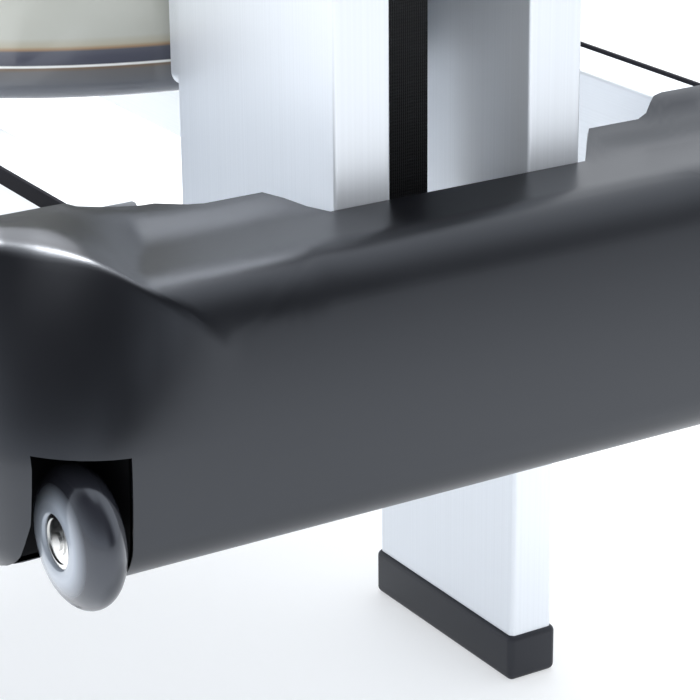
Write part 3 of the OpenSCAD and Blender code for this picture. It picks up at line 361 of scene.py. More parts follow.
@dataclass(frozen=True)
class Metal(Finish):
    """Plated or turned steel with light handling marks."""

    depth: float = 0.000006

    def build(self) -> bpy.types.Material:
        """Return the metal's material."""
        material, wires, shader = self.start(Metallic=1.0)
        grain = self.effect(wires, Effects.grain(), Scale=1500.0, Cloud=60.0)
        dark = tuple(v * 0.9 for v in self.colour)
        wires.join(wires.blend(grain.outputs["Mottle"], dark, self.colour), shader.inputs["Base Color"])
        rough = wires.spread(grain.outputs["Mottle"], 0.0, 1.0, self.rough * 0.85, self.rough * 1.15)
        wires.join(rough, shader.inputs["Roughness"])
        self.bump(wires, shader, grain.outputs["Height"], self.depth)
        return material


@dataclass(frozen=True)
class Webbing(Finish):
    """Woven strap with ribs across and yarns along."""

    ribs: float = 3900.0
    yarns: float = 5200.0
    depth: float = 0.00016

    def build(self) -> bpy.types.Material:
        """Return the strap's material."""
        material, wires, shader = self.start(Sheen_Weight=0.04, Sheen_Roughness=0.4)
        weave = self.effect(wires, Effects.weave(), Ribs=self.ribs, Yarns=self.yarns)
        # Painted sheen: the raised ribs are painted paler, as light catches their tops.
        pale = tuple(v * 1.7 + 0.003 for v in self.colour)
        wires.join(wires.blend(weave.outputs["Raised"], self.colour, pale), shader.inputs["Base Color"])
        self.bump(wires, shader, weave.outputs["Height"], self.depth)
        return material


@dataclass(frozen=True)
class Wood(Finish):
    """Oiled hardwood with its grain along X."""

    def build(self) -> bpy.types.Material:
        """Return the wood's material."""
        material, wires, shader = self.start(Coat_Weight=0.3, Coat_Roughness=0.3)
        lines = self.effect(wires, Effects.draw_lines(), X=9.0, Y=420.0, Z=420.0)
        dark = tuple(v * 0.55 for v in self.colour)
        wires.join(wires.blend(lines.outputs["Lines"], dark, self.colour), shader.inputs["Base Color"])
        self.bump(wires, shader, lines.outputs["Height"], 0.00008)
        return material


@dataclass(frozen=True)
class ClearShell(Finish):
    """Smoky clear polycarbonate of the tank and the monitor window."""

    opacity: float = 0.6

    def build(self) -> bpy.types.Material:
        """Return the clear material."""
        material, wires, shader = self.start(IOR=1.5, Coat_Weight=0.4, Coat_Roughness=0.05)
        grain = self.effect(wires, Effects.grain(), Scale=160.0, Cloud=14.0)
        pale = tuple(min(1.0, v * 1.05) for v in self.colour)
        wires.join(wires.blend(grain.outputs["Mottle"], self.colour, pale), shader.inputs["Base Color"])
        # Painted reflection: the shell turns more solid, and so paler, where it is seen edge-on.
        rim = wires.add("Fresnel", IOR=1.35)
        solid = wires.math("ADD", wires.math("MULTIPLY", rim.outputs[0], 0.7), self.opacity)
        wires.join(wires.math("MINIMUM", solid, 1.0), shader.inputs["Alpha"])
        return material


@dataclass(frozen=True)
class TankBase(Finish):
    """Lower tank half: smoky wall over a thick moulded edge; the bands of highlight and shade that the edge
    bends the light into are painted into its colour.

    Each band is its height above the lowest one, in millimetres, and its tone.
    """

    low: float = 0.417
    clears: tuple[float, float] = (0.027, 0.031)
    # Painted light: tones by height that paint the highlights, dark bands and bright rim of the moulded edge.
    painted_bands: tuple[tuple[float, Colour], ...] = (
        (0.0, linear(176, 179, 186)), (3.4, linear(136, 139, 145)), (8.0, linear(112, 115, 121)),
        (15.6, linear(112, 111, 111)), (17.4, linear(124, 104, 86)), (18.0, linear(238, 240, 238)),
        (18.6, linear(240, 241, 240)), (19.2, linear(78, 80, 92)), (23.4, linear(84, 86, 98)),
        (26.0, linear(92, 94, 104)), (27.2, linear(158, 132, 104)), (28.8, linear(184, 178, 160)),
        (33.0, linear(196, 198, 190)))

    def build(self) -> bpy.types.Material:
        """Return the banded material."""
        material, wires, shader = self.start(IOR=1.5, Coat_Weight=0.35, Coat_Roughness=0.06)
        where = wires.add("SeparateXYZ")
        wires.join(wires.add("TexCoord").outputs["Object"], where.inputs[0])
        top = self.painted_bands[-1][0]
        share = wires.spread(where.outputs["Z"], self.low, self.low + top * MM, 0.0, 1.0)
        # The ramp paints the edge's highlights and shade as colour bands by height.
        ramp = wires.add("ValToRGB")
        wires.join(share, ramp.inputs[0])
        stops = ramp.color_ramp.elements
        for i, (height, tone) in enumerate(self.painted_bands):
            stop = stops[i] if i < 2 else stops.new(height / top)
            stop.position = height / top
            stop.color = (*tone, 1.0)
        wires.join(ramp.outputs["Color"], shader.inputs["Base Color"])
        streaks = self.effect(wires, Effects.draw_lines(), X=3.0, Y=3.0, Z=900.0)
        wires.join(wires.spread(streaks.outputs["Lines"], 0.0, 1.0, 0.1, 0.24), shader.inputs["Roughness"])
        start, stop = (self.low + height for height in self.clears)
        clear = wires.spread(where.outputs["Z"], start, stop, 1.0, 0.9)
        wires.join(clear, shader.inputs["Alpha"])
        return material


@dataclass(frozen=True)
class Finishes:
    """Every finish of the machine."""

    bumper: Finish = Moulding(
        "bumper_grain", (0.0028, 0.0029, 0.0042), 0.33, grain=1100.0, depth=0.00002, shine=0.72)
    liner: Finish = Moulding("pocket_liner", (0.003, 0.003, 0.0035), 0.7, grain=1100.0, shine=0.1)
    rail_tube: Finish = Extrusion("rail_tube", (0.80, 0.835, 0.88), 0.4, grain=Grain.ALONG_Y)
    post_tube: Finish = Extrusion("post_tube", (0.80, 0.835, 0.88), 0.4, grain=Grain.ALONG_Z)
    cross_tube: Finish = Extrusion("cross_tube", (0.80, 0.835, 0.88), 0.4, grain=Grain.ALONG_X)
    black_rubber: Finish = Moulding(
        "black_rubber", (0.012, 0.012, 0.015), 0.5, grain=1400.0, depth=0.00005, shine=0.5)
    strip: Finish = Moulding(
        "rail_strip", (0.011, 0.011, 0.014), 0.85, grain=1400.0, depth=0.00005, shine=0.1)
    dark_steel: Finish = Moulding("dark_powder_coat", linear(56, 57, 60), 0.42, grain=2200.0, depth=0.00003)
    steel: Finish = Metal("plated_steel", (0.72, 0.72, 0.71), 0.24)
    black_plastic: Finish = Moulding("black_plastic", linear(40, 41, 44), 0.45, grain=1200.0)
    white_plastic: Finish = Moulding("white_plastic", linear(228, 228, 226), 0.4, grain=800.0)
    board: Finish = Moulding("board_plastic", linear(120, 123, 130), 0.5, grain=500.0, depth=0.0001)
    button: Finish = Moulding("button_caps", linear(176, 180, 186), 0.3, grain=900.0, depth=0.00001)
    roller: Finish = Moulding("roller_tyre", linear(52, 53, 57), 0.34, grain=900.0)
    vinyl: Finish = Moulding("seat_vinyl", linear(40, 40, 43), 0.5, grain=420.0, depth=0.00018)
    webbing: Finish = Webbing("strap_webbing", linear(9, 9, 11), 0.7)
    wood: Finish = Wood("handle_wood", linear(188, 142, 98), 0.42)
    tank: Finish = ClearShell("clear_tank", linear(206, 208, 200), 0.1, opacity=0.5)
    tank_base: Finish = TankBase("tank_base", linear(190, 192, 186), 0.15)
    lens: Finish = ClearShell("clear_lens", linear(150, 160, 150), 0.08, opacity=0.5)

    nodes: dict[str, tuple[str, ...]] = field(default_factory=lambda: {
        "rail_tube": ("rail_left", "rail_right"),
        "post_tube": ("upright_left", "upright_right", "legs"),
        "cross_tube": ("front_beam", "rear_beam", "front_plate"),
        "strip": ("rail_strips",),
        "black_rubber": ("rail_end_caps", "upright_cap", "foot_caps", "tank_gasket",
                         "tank_pads", "handle_grips"),
        "dark_steel": ("upright_brackets", "bumper_stay", "castor_arms", "lower_pulley_bracket", "drive_frame",
                       "tank_brackets", "footboard_stays", "console_frame", "handle_yoke"),
        "steel": ("frame_bolts", "castor_axles", "pulley_axles", "recoil_spring", "castor_bearing_left",
                  "castor_bearing_right", "impeller_shaft", "tank_screws", "seat_axles"),
        "black_plastic": ("top_pulley", "lower_pulley", "idler_pulley", "drum", "tank_plug", "heel_rest_left",
                          "heel_rest_right", "seat_carriage", "monitor_body"),
        "white_plastic": ("impeller",),
        "board": ("footboard",),
        "button": ("button_left", "button_middle", "button_right"),
        "roller": ("seat_rollers_front", "seat_rollers_rear"),
        "wood": ("handle_bar",),
        "tank": ("tank_upper",),
        "tank_base": ("tank_lower",),
        "lens": ("monitor_lens",),
        "webbing": ("drive_strap", "handle_strap", "foot_straps"),
        "bumper": ("bumper_shell",),
        "vinyl": ("seat_cushion",),
    })

    def dress_nodes(self) -> dict[str, bpy.types.Material]:
        """Give every CAD node its material.

        Returns:
            The materials by the names of the finishes.
        """
        made = {}
        for name in self.__dataclass_fields__:
            if name != "nodes":
                made[name] = getattr(self, name).build()
        for finish, nodes in self.nodes.items():
            for node in nodes:
                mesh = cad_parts[node].data
                mesh.materials.clear()
                mesh.materials.append(made[finish])
        LOG.info("dressed %d CAD nodes", sum(len(n) for n in self.nodes.values()))
        return made


class Modeller:
    """Shared ways of making and finishing a piece."""

    @staticmethod
    def clear_selection() -> None:
        """Deselect every object."""
        for item in bpy.context.selected_objects:
            item.select_set(False)

    @classmethod
    def drape(cls, name: str, rows: Sequence[Sequence[Point]], closed: bool = False) -> bpy.types.Object:
        """Lay a grid over rows of points, weld what meets and turn its normals outwards.

        Args:
            name: Name of the piece.
            rows: Rows of points in metres, each as long as the others.
            closed: Whether the last row meets the first one.

        Returns:
            The piece.
        """
        rows = [*rows, rows[0]] if closed else rows
        cls.clear_selection()
        bpy.ops.mesh.primitive_grid_add(x_subdivisions=len(rows[0]) - 1, y_subdivisions=len(rows) - 1, size=1.0)
        item = bpy.context.active_object
        item.name = name
        item.data.vertices.foreach_set("co", [v for row in rows for p in row for v in p])
        cls.weld(item)
        return item

    @classmethod
    def weld(cls, item: bpy.types.Object) -> None:
        """Merge the points that meet and turn the normals outwards."""
        cls.choose(item)
        bpy.ops.object.mode_set(mode="EDIT")
        bpy.ops.mesh.select_all(action="SELECT")
        bpy.ops.mesh.remove_doubles(threshold=0.00002)
        bpy.ops.mesh.normals_make_consistent(inside=False)
        bpy.ops.object.mode_set(mode="OBJECT")

    @classmethod
    def turned(cls, name: str, rings: Sequence[tuple[float, float]], centre: Point) -> bpy.types.Object:
        """Turn a closed profile about an axis along X, ring by ring.

        Args:
            name: Name of the piece.
            rings: Radius and X of each ring in millimetres, in order along the profile.
            centre: A point of the axis, in metres, that X is counted from.

        Returns:
            The piece.
        """
        cls.clear_selection()
        radius, x = rings[0]
        start = (centre[0] + x * MM, centre[1], centre[2])
        bpy.ops.mesh.primitive_circle_add(
            vertices=72, radius=radius * MM, location=start, rotation=(0, math.pi / 2, 0))
        item = bpy.context.active_object
        item.name = name
        bpy.ops.object.transform_apply(location=True, rotation=True, scale=True)
        bpy.ops.object.mode_set(mode="EDIT")
        bpy.ops.mesh.select_all(action="SELECT")
        for near, far in zip(rings, [*rings[1:], rings[0]]):
            bpy.ops.mesh.extrude_region_move()
            bpy.ops.transform.translate(value=((far[1] - near[1]) * MM, 0, 0))
            size = far[0] / near[0]
            bpy.ops.transform.resize(value=(1, size, size), center_override=centre)
        bpy.ops.object.mode_set(mode="OBJECT")
        cls.weld(item)
        return item

    @classmethod
    def choose(cls, item: bpy.types.Object) -> None:
        """Select one object alone and make it active."""
        cls.clear_selection()
        item.select_set(True)
        bpy.context.view_layer.objects.active = item

    @classmethod
    def modifier(cls, item: bpy.types.Object, kind: str, **values: object) -> None:
        """Add a modifier with its values and apply it."""
        cls.choose(item)
        added = item.modifiers.new(kind.lower(), kind)
        for key, value in values.items():
            setattr(added, key, value)
        bpy.ops.object.modifier_apply(modifier=added.name)

    @classmethod
    def soften(cls, item: bpy.types.Object, angle: float = 32.0) -> None:
        """Shade an object smooth, with edges over the angle kept sharp."""
        cls.choose(item)
        bpy.ops.object.shade_smooth_by_angle(angle=math.radians(angle))

    @classmethod
    def box(cls, name: str, low: Point, high: Point) -> bpy.types.Object:
        """Add a box between two corners, given in metres."""
        cls.clear_selection()
        middle = [(a + b) / 2 for a, b in zip(low, high)]
        bpy.ops.mesh.primitive_cube_add(size=1.0, location=middle, scale=[b - a for a, b in zip(low, high)])
        item = bpy.context.active_object
        item.name = name
        bpy.ops.object.transform_apply(location=True, rotation=True, scale=True)
        return item

    @classmethod
    def cut(cls, item: bpy.types.Object, tool: bpy.types.Object, how: str = "DIFFERENCE") -> None:
        """Cut an object with another one, which is then removed."""
        cls.modifier(item, "BOOLEAN", object=tool, operation=how, solver="EXACT")
        bpy.data.objects.remove(tool)

    @classmethod
    def join(cls, items: Sequence[bpy.types.Object], name: str) -> bpy.types.Object:
        """Join objects into the first one."""
        cls.clear_selection()
        for item in items:
            item.select_set(True)
        bpy.context.view_layer.objects.active = items[0]
        bpy.ops.object.join()
        items[0].name = name
        return items[0]

    @staticmethod
    def settle(
        item: bpy.types.Object, body: Body, material: bpy.types.Material, slot: str, nodes: Iterable[str] = ()
    ) -> None:
        """Give a finished piece its material and body, and hide the CAD nodes that it replaces.

        Args:
            item: The piece.
            body: The CAD body that it moves with.
            material: Its material.
            slot: Not used.
            nodes: The CAD nodes that it replaces.
        """
        item.data.materials.clear()
        item.data.materials.append(material)
        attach(item, body.value)
        if nodes:
            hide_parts(*nodes)
        LOG.info("made %s: %d faces", item.name, len(item.data.polygons))


@dataclass
class Datum:
    """Lines that the machine is set out from, in millimetres."""

    upright_front: float = 0.0

    @classmethod
    def read(cls) -> "Datum":
        """Read the uprights' front plane from the CAD frame."""
        return cls(upright_front=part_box("upright_left")[0].y / MM)

    def at(self, x: float, y: float, z: float) -> Point:
        """Turn a place counted from the uprights' front faces into the frame's metres."""
        return (x * MM, (y + self.upright_front) * MM, z * MM)


class Station(NamedTuple):
    """A cross-section of the bumper: its widest point and outward normal, its crest and its lip."""

    mid: Point
    normal: Point
    crest: Point
    end: Point


@dataclass
class Bumper:
    """Moulded front bumper: one skin that rolls under, with a slot for the uprights.

    All sizes are in millimetres, with depths counted from the uprights' front faces.

    Attributes:
        datum: Lines of the machine.
        half_w: Half the width over the sides.
        reach: Depth of the front face ahead of the uprights.
        low_z: Height of the lowest edge.
        mid_z: Height at which the front face starts to lean back.
        flat_z: Height of the top surface beside the uprights.
        shoulder_r: Radius of the edge between the face and the top, about a line at shoulder_y.
        roll_r: Radius of the roll at the foot.
        corner_r: Radius of the front corners in the plan.
        wall: Thickness of the moulding.
        back: Depth of the sides' rear ends.
        lip_y: Depth of the rear lip by the rails, with slot_lip at the uprights and wing_lip between.
        top_rise: Steps up of the top surface towards its rear lip.
        hem: Widths of the flange that turns inward underneath, which rises by hem_rise.
        upright_x: Distance from the middle to the uprights' outer faces.
        rail_in: Distance from the middle to a rail's inner face, with rail_out to its outer face.
        side_reach: Distance that the top goes on outside a rail.
        crest_side: Distance of the crest inside the side face.
        chamfer_x: Where the corner's faceted crest starts.
        crest: Points of that crest, round to the side.
        crest_r: Reach of its rounding at the front and at the side, with swell as its bulge.
        pocket_top: Upper corners of a castor's pocket, inner and outer.
        pocket_flare: Points of its outer wall, down to pocket_foot.
    """

    datum: Datum
    half_w: float = 262.0
    reach: float = 62.0
    low_z: float = 272.5
    mid_z: float = 335.0
    flat_z: float = 405.5
    shoulder_r: float = 25.0
    shoulder_y: float = -33.0
    roll_r: float = 25.0
    corner_r: float = 52.0
    wall: float = 3.0
    back: float = 70.0
    lip_y: float = 40.0
    slot_lip: float = -0.6
    wing_lip: float = 25.0
    top_rise: tuple[float, float] = (6.1, 7.0)
    hem: tuple[float, float] = (44.0, 36.0)
    hem_rise: float = 0.4
    upright_x: float = 68.75
    rail_in: float = 151.0
    rail_out: float = 181.0
    side_reach: float = 36.0
    crest_side: float = 24.0
    chamfer_x: float = 160.0
    steps: tuple[int, int] = (12, 12)
    rise_steps: int = 22
    top_steps: int = 48
    face_lean: float = 10.5
    top_z: float = 418.5
    crest_r: tuple[float, float] = (3.4, 6.0)
    swell: float = 3.0
    pocket_top: tuple[tuple[float, float], ...] = ((208, 337), (247, 341))
    pocket_flare: tuple[tuple[float, float], ...] = ((248, 309), (251, 292), (256, 275))
    pocket_foot: float = 258.0
    crest: tuple[Point, ...] = (
        (160, -59.5, 378), (169, -57.4, 386), (178, -53, 395), (188, -45, 403.5), (196, -34, 409),
        (203, -24, 413), (211, -12, 415), (221, -2, 416.5), (235, 6, 418.5))

    def top_height(self, y: float) -> float:
        """Return the height of the shoulder and the top surface at a depth."""
        if y < self.shoulder_y:
            rise = max(0.0, self.shoulder_r**2 - (y - self.shoulder_y) ** 2)
            return self.flat_z - self.shoulder_r + math.sqrt(rise)
        return self.flat_z + self.top_rise[0] * smooth(y / 26) + self.top_rise[1] * smooth((y - 22) / 16)

    def face_depth(self, z: float) -> float:
        """Return the depth of the long front face and shoulder at a height."""
        centre_z = self.flat_z - self.shoulder_r
        join_z = centre_z + self.shoulder_r * math.sin(math.radians(self.face_lean))
        if z <= self.mid_z:
            return -self.reach
        if z <= join_z:
            lean = self.reach + self.shoulder_y - self.shoulder_r * math.cos(math.radians(self.face_lean))
            return -self.reach + lean * ((z - self.mid_z) / (join_z - self.mid_z)) ** 2
        rise = min(z - centre_z, self.shoulder_r)
        return self.shoulder_y - math.sqrt(self.shoulder_r**2 - rise**2)

    def lip(self, x: float) -> float:
        """Return the depth of the rear lip at a distance from the middle."""
        slot, tip = self.upright_x + 3, self.upright_x + 24
        if x <= slot:
            return self.slot_lip
        if x <= tip:
            return mix(self.slot_lip, self.wing_lip, (x - slot) / (tip - slot))
        return mix(self.wing_lip, self.lip_y, smooth((x - self.rail_in + 28) / 26))

    def roll_heights(self) -> list[float]:
        """Return the heights of the rings along the roll at the foot."""
        return [self.low_z + self.roll_r * (1 - math.cos(math.radians(a))) for a in range(0, 91, 9)]

    def stations(self) -> list[Station]:
        """List the stations of the right half, from the middle to the rear side."""
        chamfer, corner = self.steps
        centre = (self.half_w - self.corner_r, self.corner_r - self.reach)
        found = []
        slot_xs = [0, 20, 40, 60, self.upright_x + 2.9, self.upright_x + 3.1, 79, 86, self.upright_x + 24, 105]
        for x in [*slot_xs, 115, 123, 130, 136, 142, 149, 155]:
            z = mix(self.flat_z - 1, self.crest[0][2], smooth((x - 100) / (self.chamfer_x - 100)))
            found.append(Station(
                (x, -self.reach, 0), (0, -1, 0), (x, self.face_depth(z), z), (x, self.lip(x), 0)))
        total = chamfer + corner
        crest = self.resample(self.crest, total)
        for i in range(total + 1):
            if i <= chamfer:
                mid = (mix(self.chamfer_x, centre[0], i / chamfer), -self.reach, 0)
                normal = (0, -1, 0)
            else:
                a = math.radians(-90 + 90 * (i - chamfer) / corner)
                normal = (math.cos(a), math.sin(a), 0)
                mid = (centre[0] + self.corner_r * normal[0], centre[1] + self.corner_r * normal[1], 0)
            end = (mix(self.chamfer_x, self.rail_out + self.side_reach, i / total), self.lip_y, 0)
            found.append(Station(mid, normal, crest[i], end))
        for y in (10, 25, 40, 55, self.back):
            found.append(Station(
                (self.half_w, y, 0), (1, 0, 0), (self.half_w - self.crest_side, y, crest[-1][2]),
                (self.rail_out + self.side_reach, max(y, self.lip_y), 0)))
        return found

    def side_point(self, station: Station, z: float) -> tuple[float, float]:
        """Return the plan place of the skin at a station and a height up to its crest."""
        mid, normal, crest, _ = station
        if z <= self.mid_z:
            zr = self.low_z + self.roll_r
            if z >= zr:
                inset = 2 * ((self.mid_z - z) / (self.mid_z - zr)) ** 2
            else:
                inset = 2 + self.roll_r - math.sqrt(max(0.0, self.roll_r**2 - (zr - z) ** 2))
            return mid[0] - normal[0] * inset, mid[1] - normal[1] * inset
        if mid[0] < self.chamfer_x:
            return mid[0], self.face_depth(z)
        t = (z - self.mid_z) / (crest[2] - self.mid_z)
        share = t**1.5
        x, y = mix(mid[0], crest[0], share), mix(mid[1], crest[1], share)
        first = crest[2] < self.crest[0][2] + 0.5
        flat = smooth(1 - (mid[0] - self.chamfer_x) / 24) * (1 - t) * (1.0 if first else 0.6)
        return x, mix(y, self.face_depth(z), flat)

    def profile(self, station: Station) -> list[Point]:
        """Return the skin's points at a station, from under the bumper to the lip."""
        mid, normal, crest, end = station
        curl = [
            (mid[0] - normal[0] * d, mid[1] - normal[1] * d, self.low_z + self.hem_rise * (d / 27 - 1))
            for d in self.hem]
        heights = self.roll_heights()
        heights += [mix(heights[-1], self.mid_z, t / 4) for t in range(1, 5)]
        turns = (math.pi / 2 * i / self.rise_steps for i in range(1, self.rise_steps + 1))
        heights += [mix(self.mid_z, crest[2], math.sin(turn)) for turn in turns]
        points = curl + [(*self.side_point(station, z), z) for z in heights]
        corner = mid[0] >= self.chamfer_x
        flat = []
        for i in range(1, self.top_steps + 1):
            t = (i / self.top_steps) ** 1.4
            x, y = mix(crest[0], end[0], t), mix(crest[1], end[1], t)
            top = self.top_height(y)
            if corner:
                swell = smooth(t / 0.4) - smooth((t - 0.4) / 0.6)
                swell *= self.swell * smooth((crest[0] - 188) / 26)
                top = max(top, mix(crest[2], self.top_z, t)) + swell
            flat.append((x, y, top))
        run = math.hypot(end[0] - crest[0], end[1] - crest[1])
        reach = mix(*self.crest_r, smooth((crest[0] - 196) / 22)) if corner else self.crest_r[0]
        return self.round_crest(points, flat, min(reach, run / 3))

    @staticmethod
    def round_crest(rise: list[Point], flat: list[Point], reach: float) -> list[Point]:
        """Round the edge between the face and the top with a short curve."""
        crest = Vector(rise[-1])
        keep = [p for p in rise if (Vector(p) - crest).length > reach]
        rest = [p for p in flat if (Vector(p) - crest).length > reach]
        a = crest + (Vector(keep[-1]) - crest).normalized() * reach
        b = crest + (Vector(rest[0]) - crest).normalized() * reach
        curve = [(1 - t) ** 2 * a + 2 * t * (1 - t) * crest + t**2 * b for t in (0, 0.2, 0.4, 0.6, 0.8, 1)]
        below, parts = 17, 20
        middle = Bumper.resample([*keep[below - 1:], tuple(a)], parts)
        upper = Bumper.resample([tuple(b), *rest], parts)
        return keep[:below] + middle[1:-1] + [tuple(c) for c in curve] + upper[1:]

    @staticmethod
    def resample(points: list[Point], count: int) -> list[Point]:
        """Spread points evenly by length along a line through the given ones."""
        vectors = [Vector(p) for p in points]
        lengths = [0.0]
        for a, b in zip(vectors, vectors[1:]):
            lengths.append(lengths[-1] + (b - a).length)
        result, j = [], 0
        for i in range(count + 1):
            want = lengths[-1] * i / count
            while j < len(vectors) - 2 and lengths[j + 1] < want:
                j += 1
            span = lengths[j + 1] - lengths[j]
            t = 0.0 if span == 0 else (want - lengths[j]) / span
            result.append(tuple(vectors[j].lerp(vectors[j + 1], min(max(t, 0), 1))))
        return result

    def skin(self) -> bpy.types.Object:
        """Build the skin of both halves as one open surface."""
        right = [self.profile(s) for s in self.stations()]
        left = [[self.left_lip(-x, y, z) for x, y, z in p] for p in right[:0:-1]]
        rows = left + right
        return Modeller.drape("bumper", [[self.datum.at(*p) for p in row] for row in rows])

    @staticmethod
    def left_lip(x: float, y: float, z: float) -> Point:
        """Return a point of the left half, with the dip that its rear lip has beside the rail."""
        start, stop, dip_z, dip_y = -140, -186, 411.6, 36.6
        if not stop < x < 0 or y < 8:
            return x, y, z
        cap = dip_z + 6.9 * (max(0.0, start - x) / (start - stop)) ** 1.6
        near = smooth((y - 8) / 18)
        depth = min(y, mix(40, dip_y, smooth((start - x) / 9))) if x > stop + 3 else y
        return x, depth, mix(z, min(z, cap), near)

    def pocket(self, side: int, grow: float) -> bpy.types.Object:
        """Return a block that fills a castor's pocket, grown outward by some millimetres."""
        # A grown block is the pocket's wall, inside the skin. An exact one cuts through it.
        front = self.datum.at(0, -self.reach + (2 if grow else -18), 0)[1]
        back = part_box("castor_wheel_right")[1].y + (6 + grow) * MM
        foot = self.low_z if grow else 200.0
        (inner, inner_top), (outer, outer_top) = self.pocket_top
        outline = [(inner - grow, foot), (inner - grow, inner_top + grow), (outer + grow, outer_top + grow)]
        outline += [(x + grow, z) for x, z in self.pocket_flare] + [(self.pocket_foot + grow, foot)]
        row = [(side * x * MM, z * MM) for x, z in [*outline, outline[0]]]
        heart = [(side * 230 * MM, 300 * MM)] * len(row)
        ends = ((heart, front), (row, front), (row, back), (heart, back))
        return Modeller.drape("pocket", [[(x, y, z) for x, z in points] for points, y in ends])

    def build(self, material: bpy.types.Material, dark: bpy.types.Material) -> None:
        """Build the bumper with its castor pockets."""
        shell = self.skin()
        Modeller.modifier(shell, "SOLIDIFY", thickness=self.wall * MM, offset=-1.0, use_even_offset=True)
        for side in (-1, 1):
            liner = self.pocket(side, self.wall)
            Modeller.cut(liner, self.solid_block(), "INTERSECT")
            Modeller.cut(liner, self.pocket(side, 0))
            Modeller.cut(shell, self.pocket(side, 0))
            Modeller.soften(liner, 28)
            Modeller.settle(liner, Body.FRAME, dark, "bumper_plastic", ["bumper_shell"])
            liner.name = f"pocket_liner_{'left' if side < 0 else 'right'}"
        floor_cut = Modeller.box(
            "floor_cut", self.datum.at(-self.rail_out - 20, -8, 250),
            self.datum.at(self.rail_out + 20, 150, 290))
        Modeller.cut(shell, floor_cut)
        Modeller.soften(shell, 28)
        Modeller.settle(shell, Body.FRAME, material, "bumper_plastic", ["bumper_shell"])

    def solid_block(self) -> bpy.types.Object:
        """Return a closed solid just inside the bumper's skin, for trimming the pocket walls."""
        rows, shy = [], 0.6
        for station in self.stations():
            outline = []
            for z in (*self.roll_heights(), self.mid_z, self.mid_z + 20):
                x, y = self.side_point(station, z)
                outline.append((
                    x - station.normal[0] * shy, y - station.normal[1] * shy, max(z, self.low_z + shy)))
            rows.append([(0, 0, self.low_z + shy), *outline, (0, 0, self.mid_z + 20)])
        rows = [[(-x, y, z) for x, y, z in p] for p in rows[:0:-1]] + rows
        return Modeller.drape("trim", [[self.datum.at(*p) for p in row] for row in rows], closed=True)


@dataclass
class Castors:
    """Transport castors: a glossy moulded wheel, turned round the seat of its steel bearing."""

    flat: float = 16.0  # radius where the side's flat face ends, in millimetres

    def wheel(self, side: str) -> None:
        """Turn one wheel from its profile."""
        node = f"castor_wheel_{side}"
        low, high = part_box(node)
        ring_low, ring_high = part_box(f"castor_bearing_{side}")
        centre = tuple((a + b) / 2 for a, b in zip(low, high))
        half, radius = (high.x - low.x) / 2 / MM, (high.z - low.z) / 2 / MM
        seat = (ring_high.z - ring_low.z) / 2 / MM
        tread = [
            (self.flat + (radius - self.flat) * math.sin(math.radians(a)), -half * math.cos(math.radians(a)))
            for a in range(0, 181, 9)]
        edge = [(seat, 1.4), (seat + 0.5, 0.3), (seat + 1.0, 0.0)]
        profile = [(r, -half + inset) for r, inset in edge]
        profile += tread + [(r, half - inset) for r, inset in reversed(edge)]
        wheel = Modeller.turned(f"castor_tyre_{side}", profile, centre)
        Modeller.soften(wheel, 40)
        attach(wheel, f"castor_{side}")
        finish = Tyre(
            f"castor_tyre_{side}", (0.015, 0.016, 0.021), 0.19, grain=700.0, depth=0.00001, shine=0.9,
            axle=centre[1:], hub=linear(152, 160, 171))
        wheel.data.materials.append(finish.build())
        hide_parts(node)

    def build(self) -> None:
        """Turn both wheels."""
        for side in ("left", "right"):
            self.wheel(side)


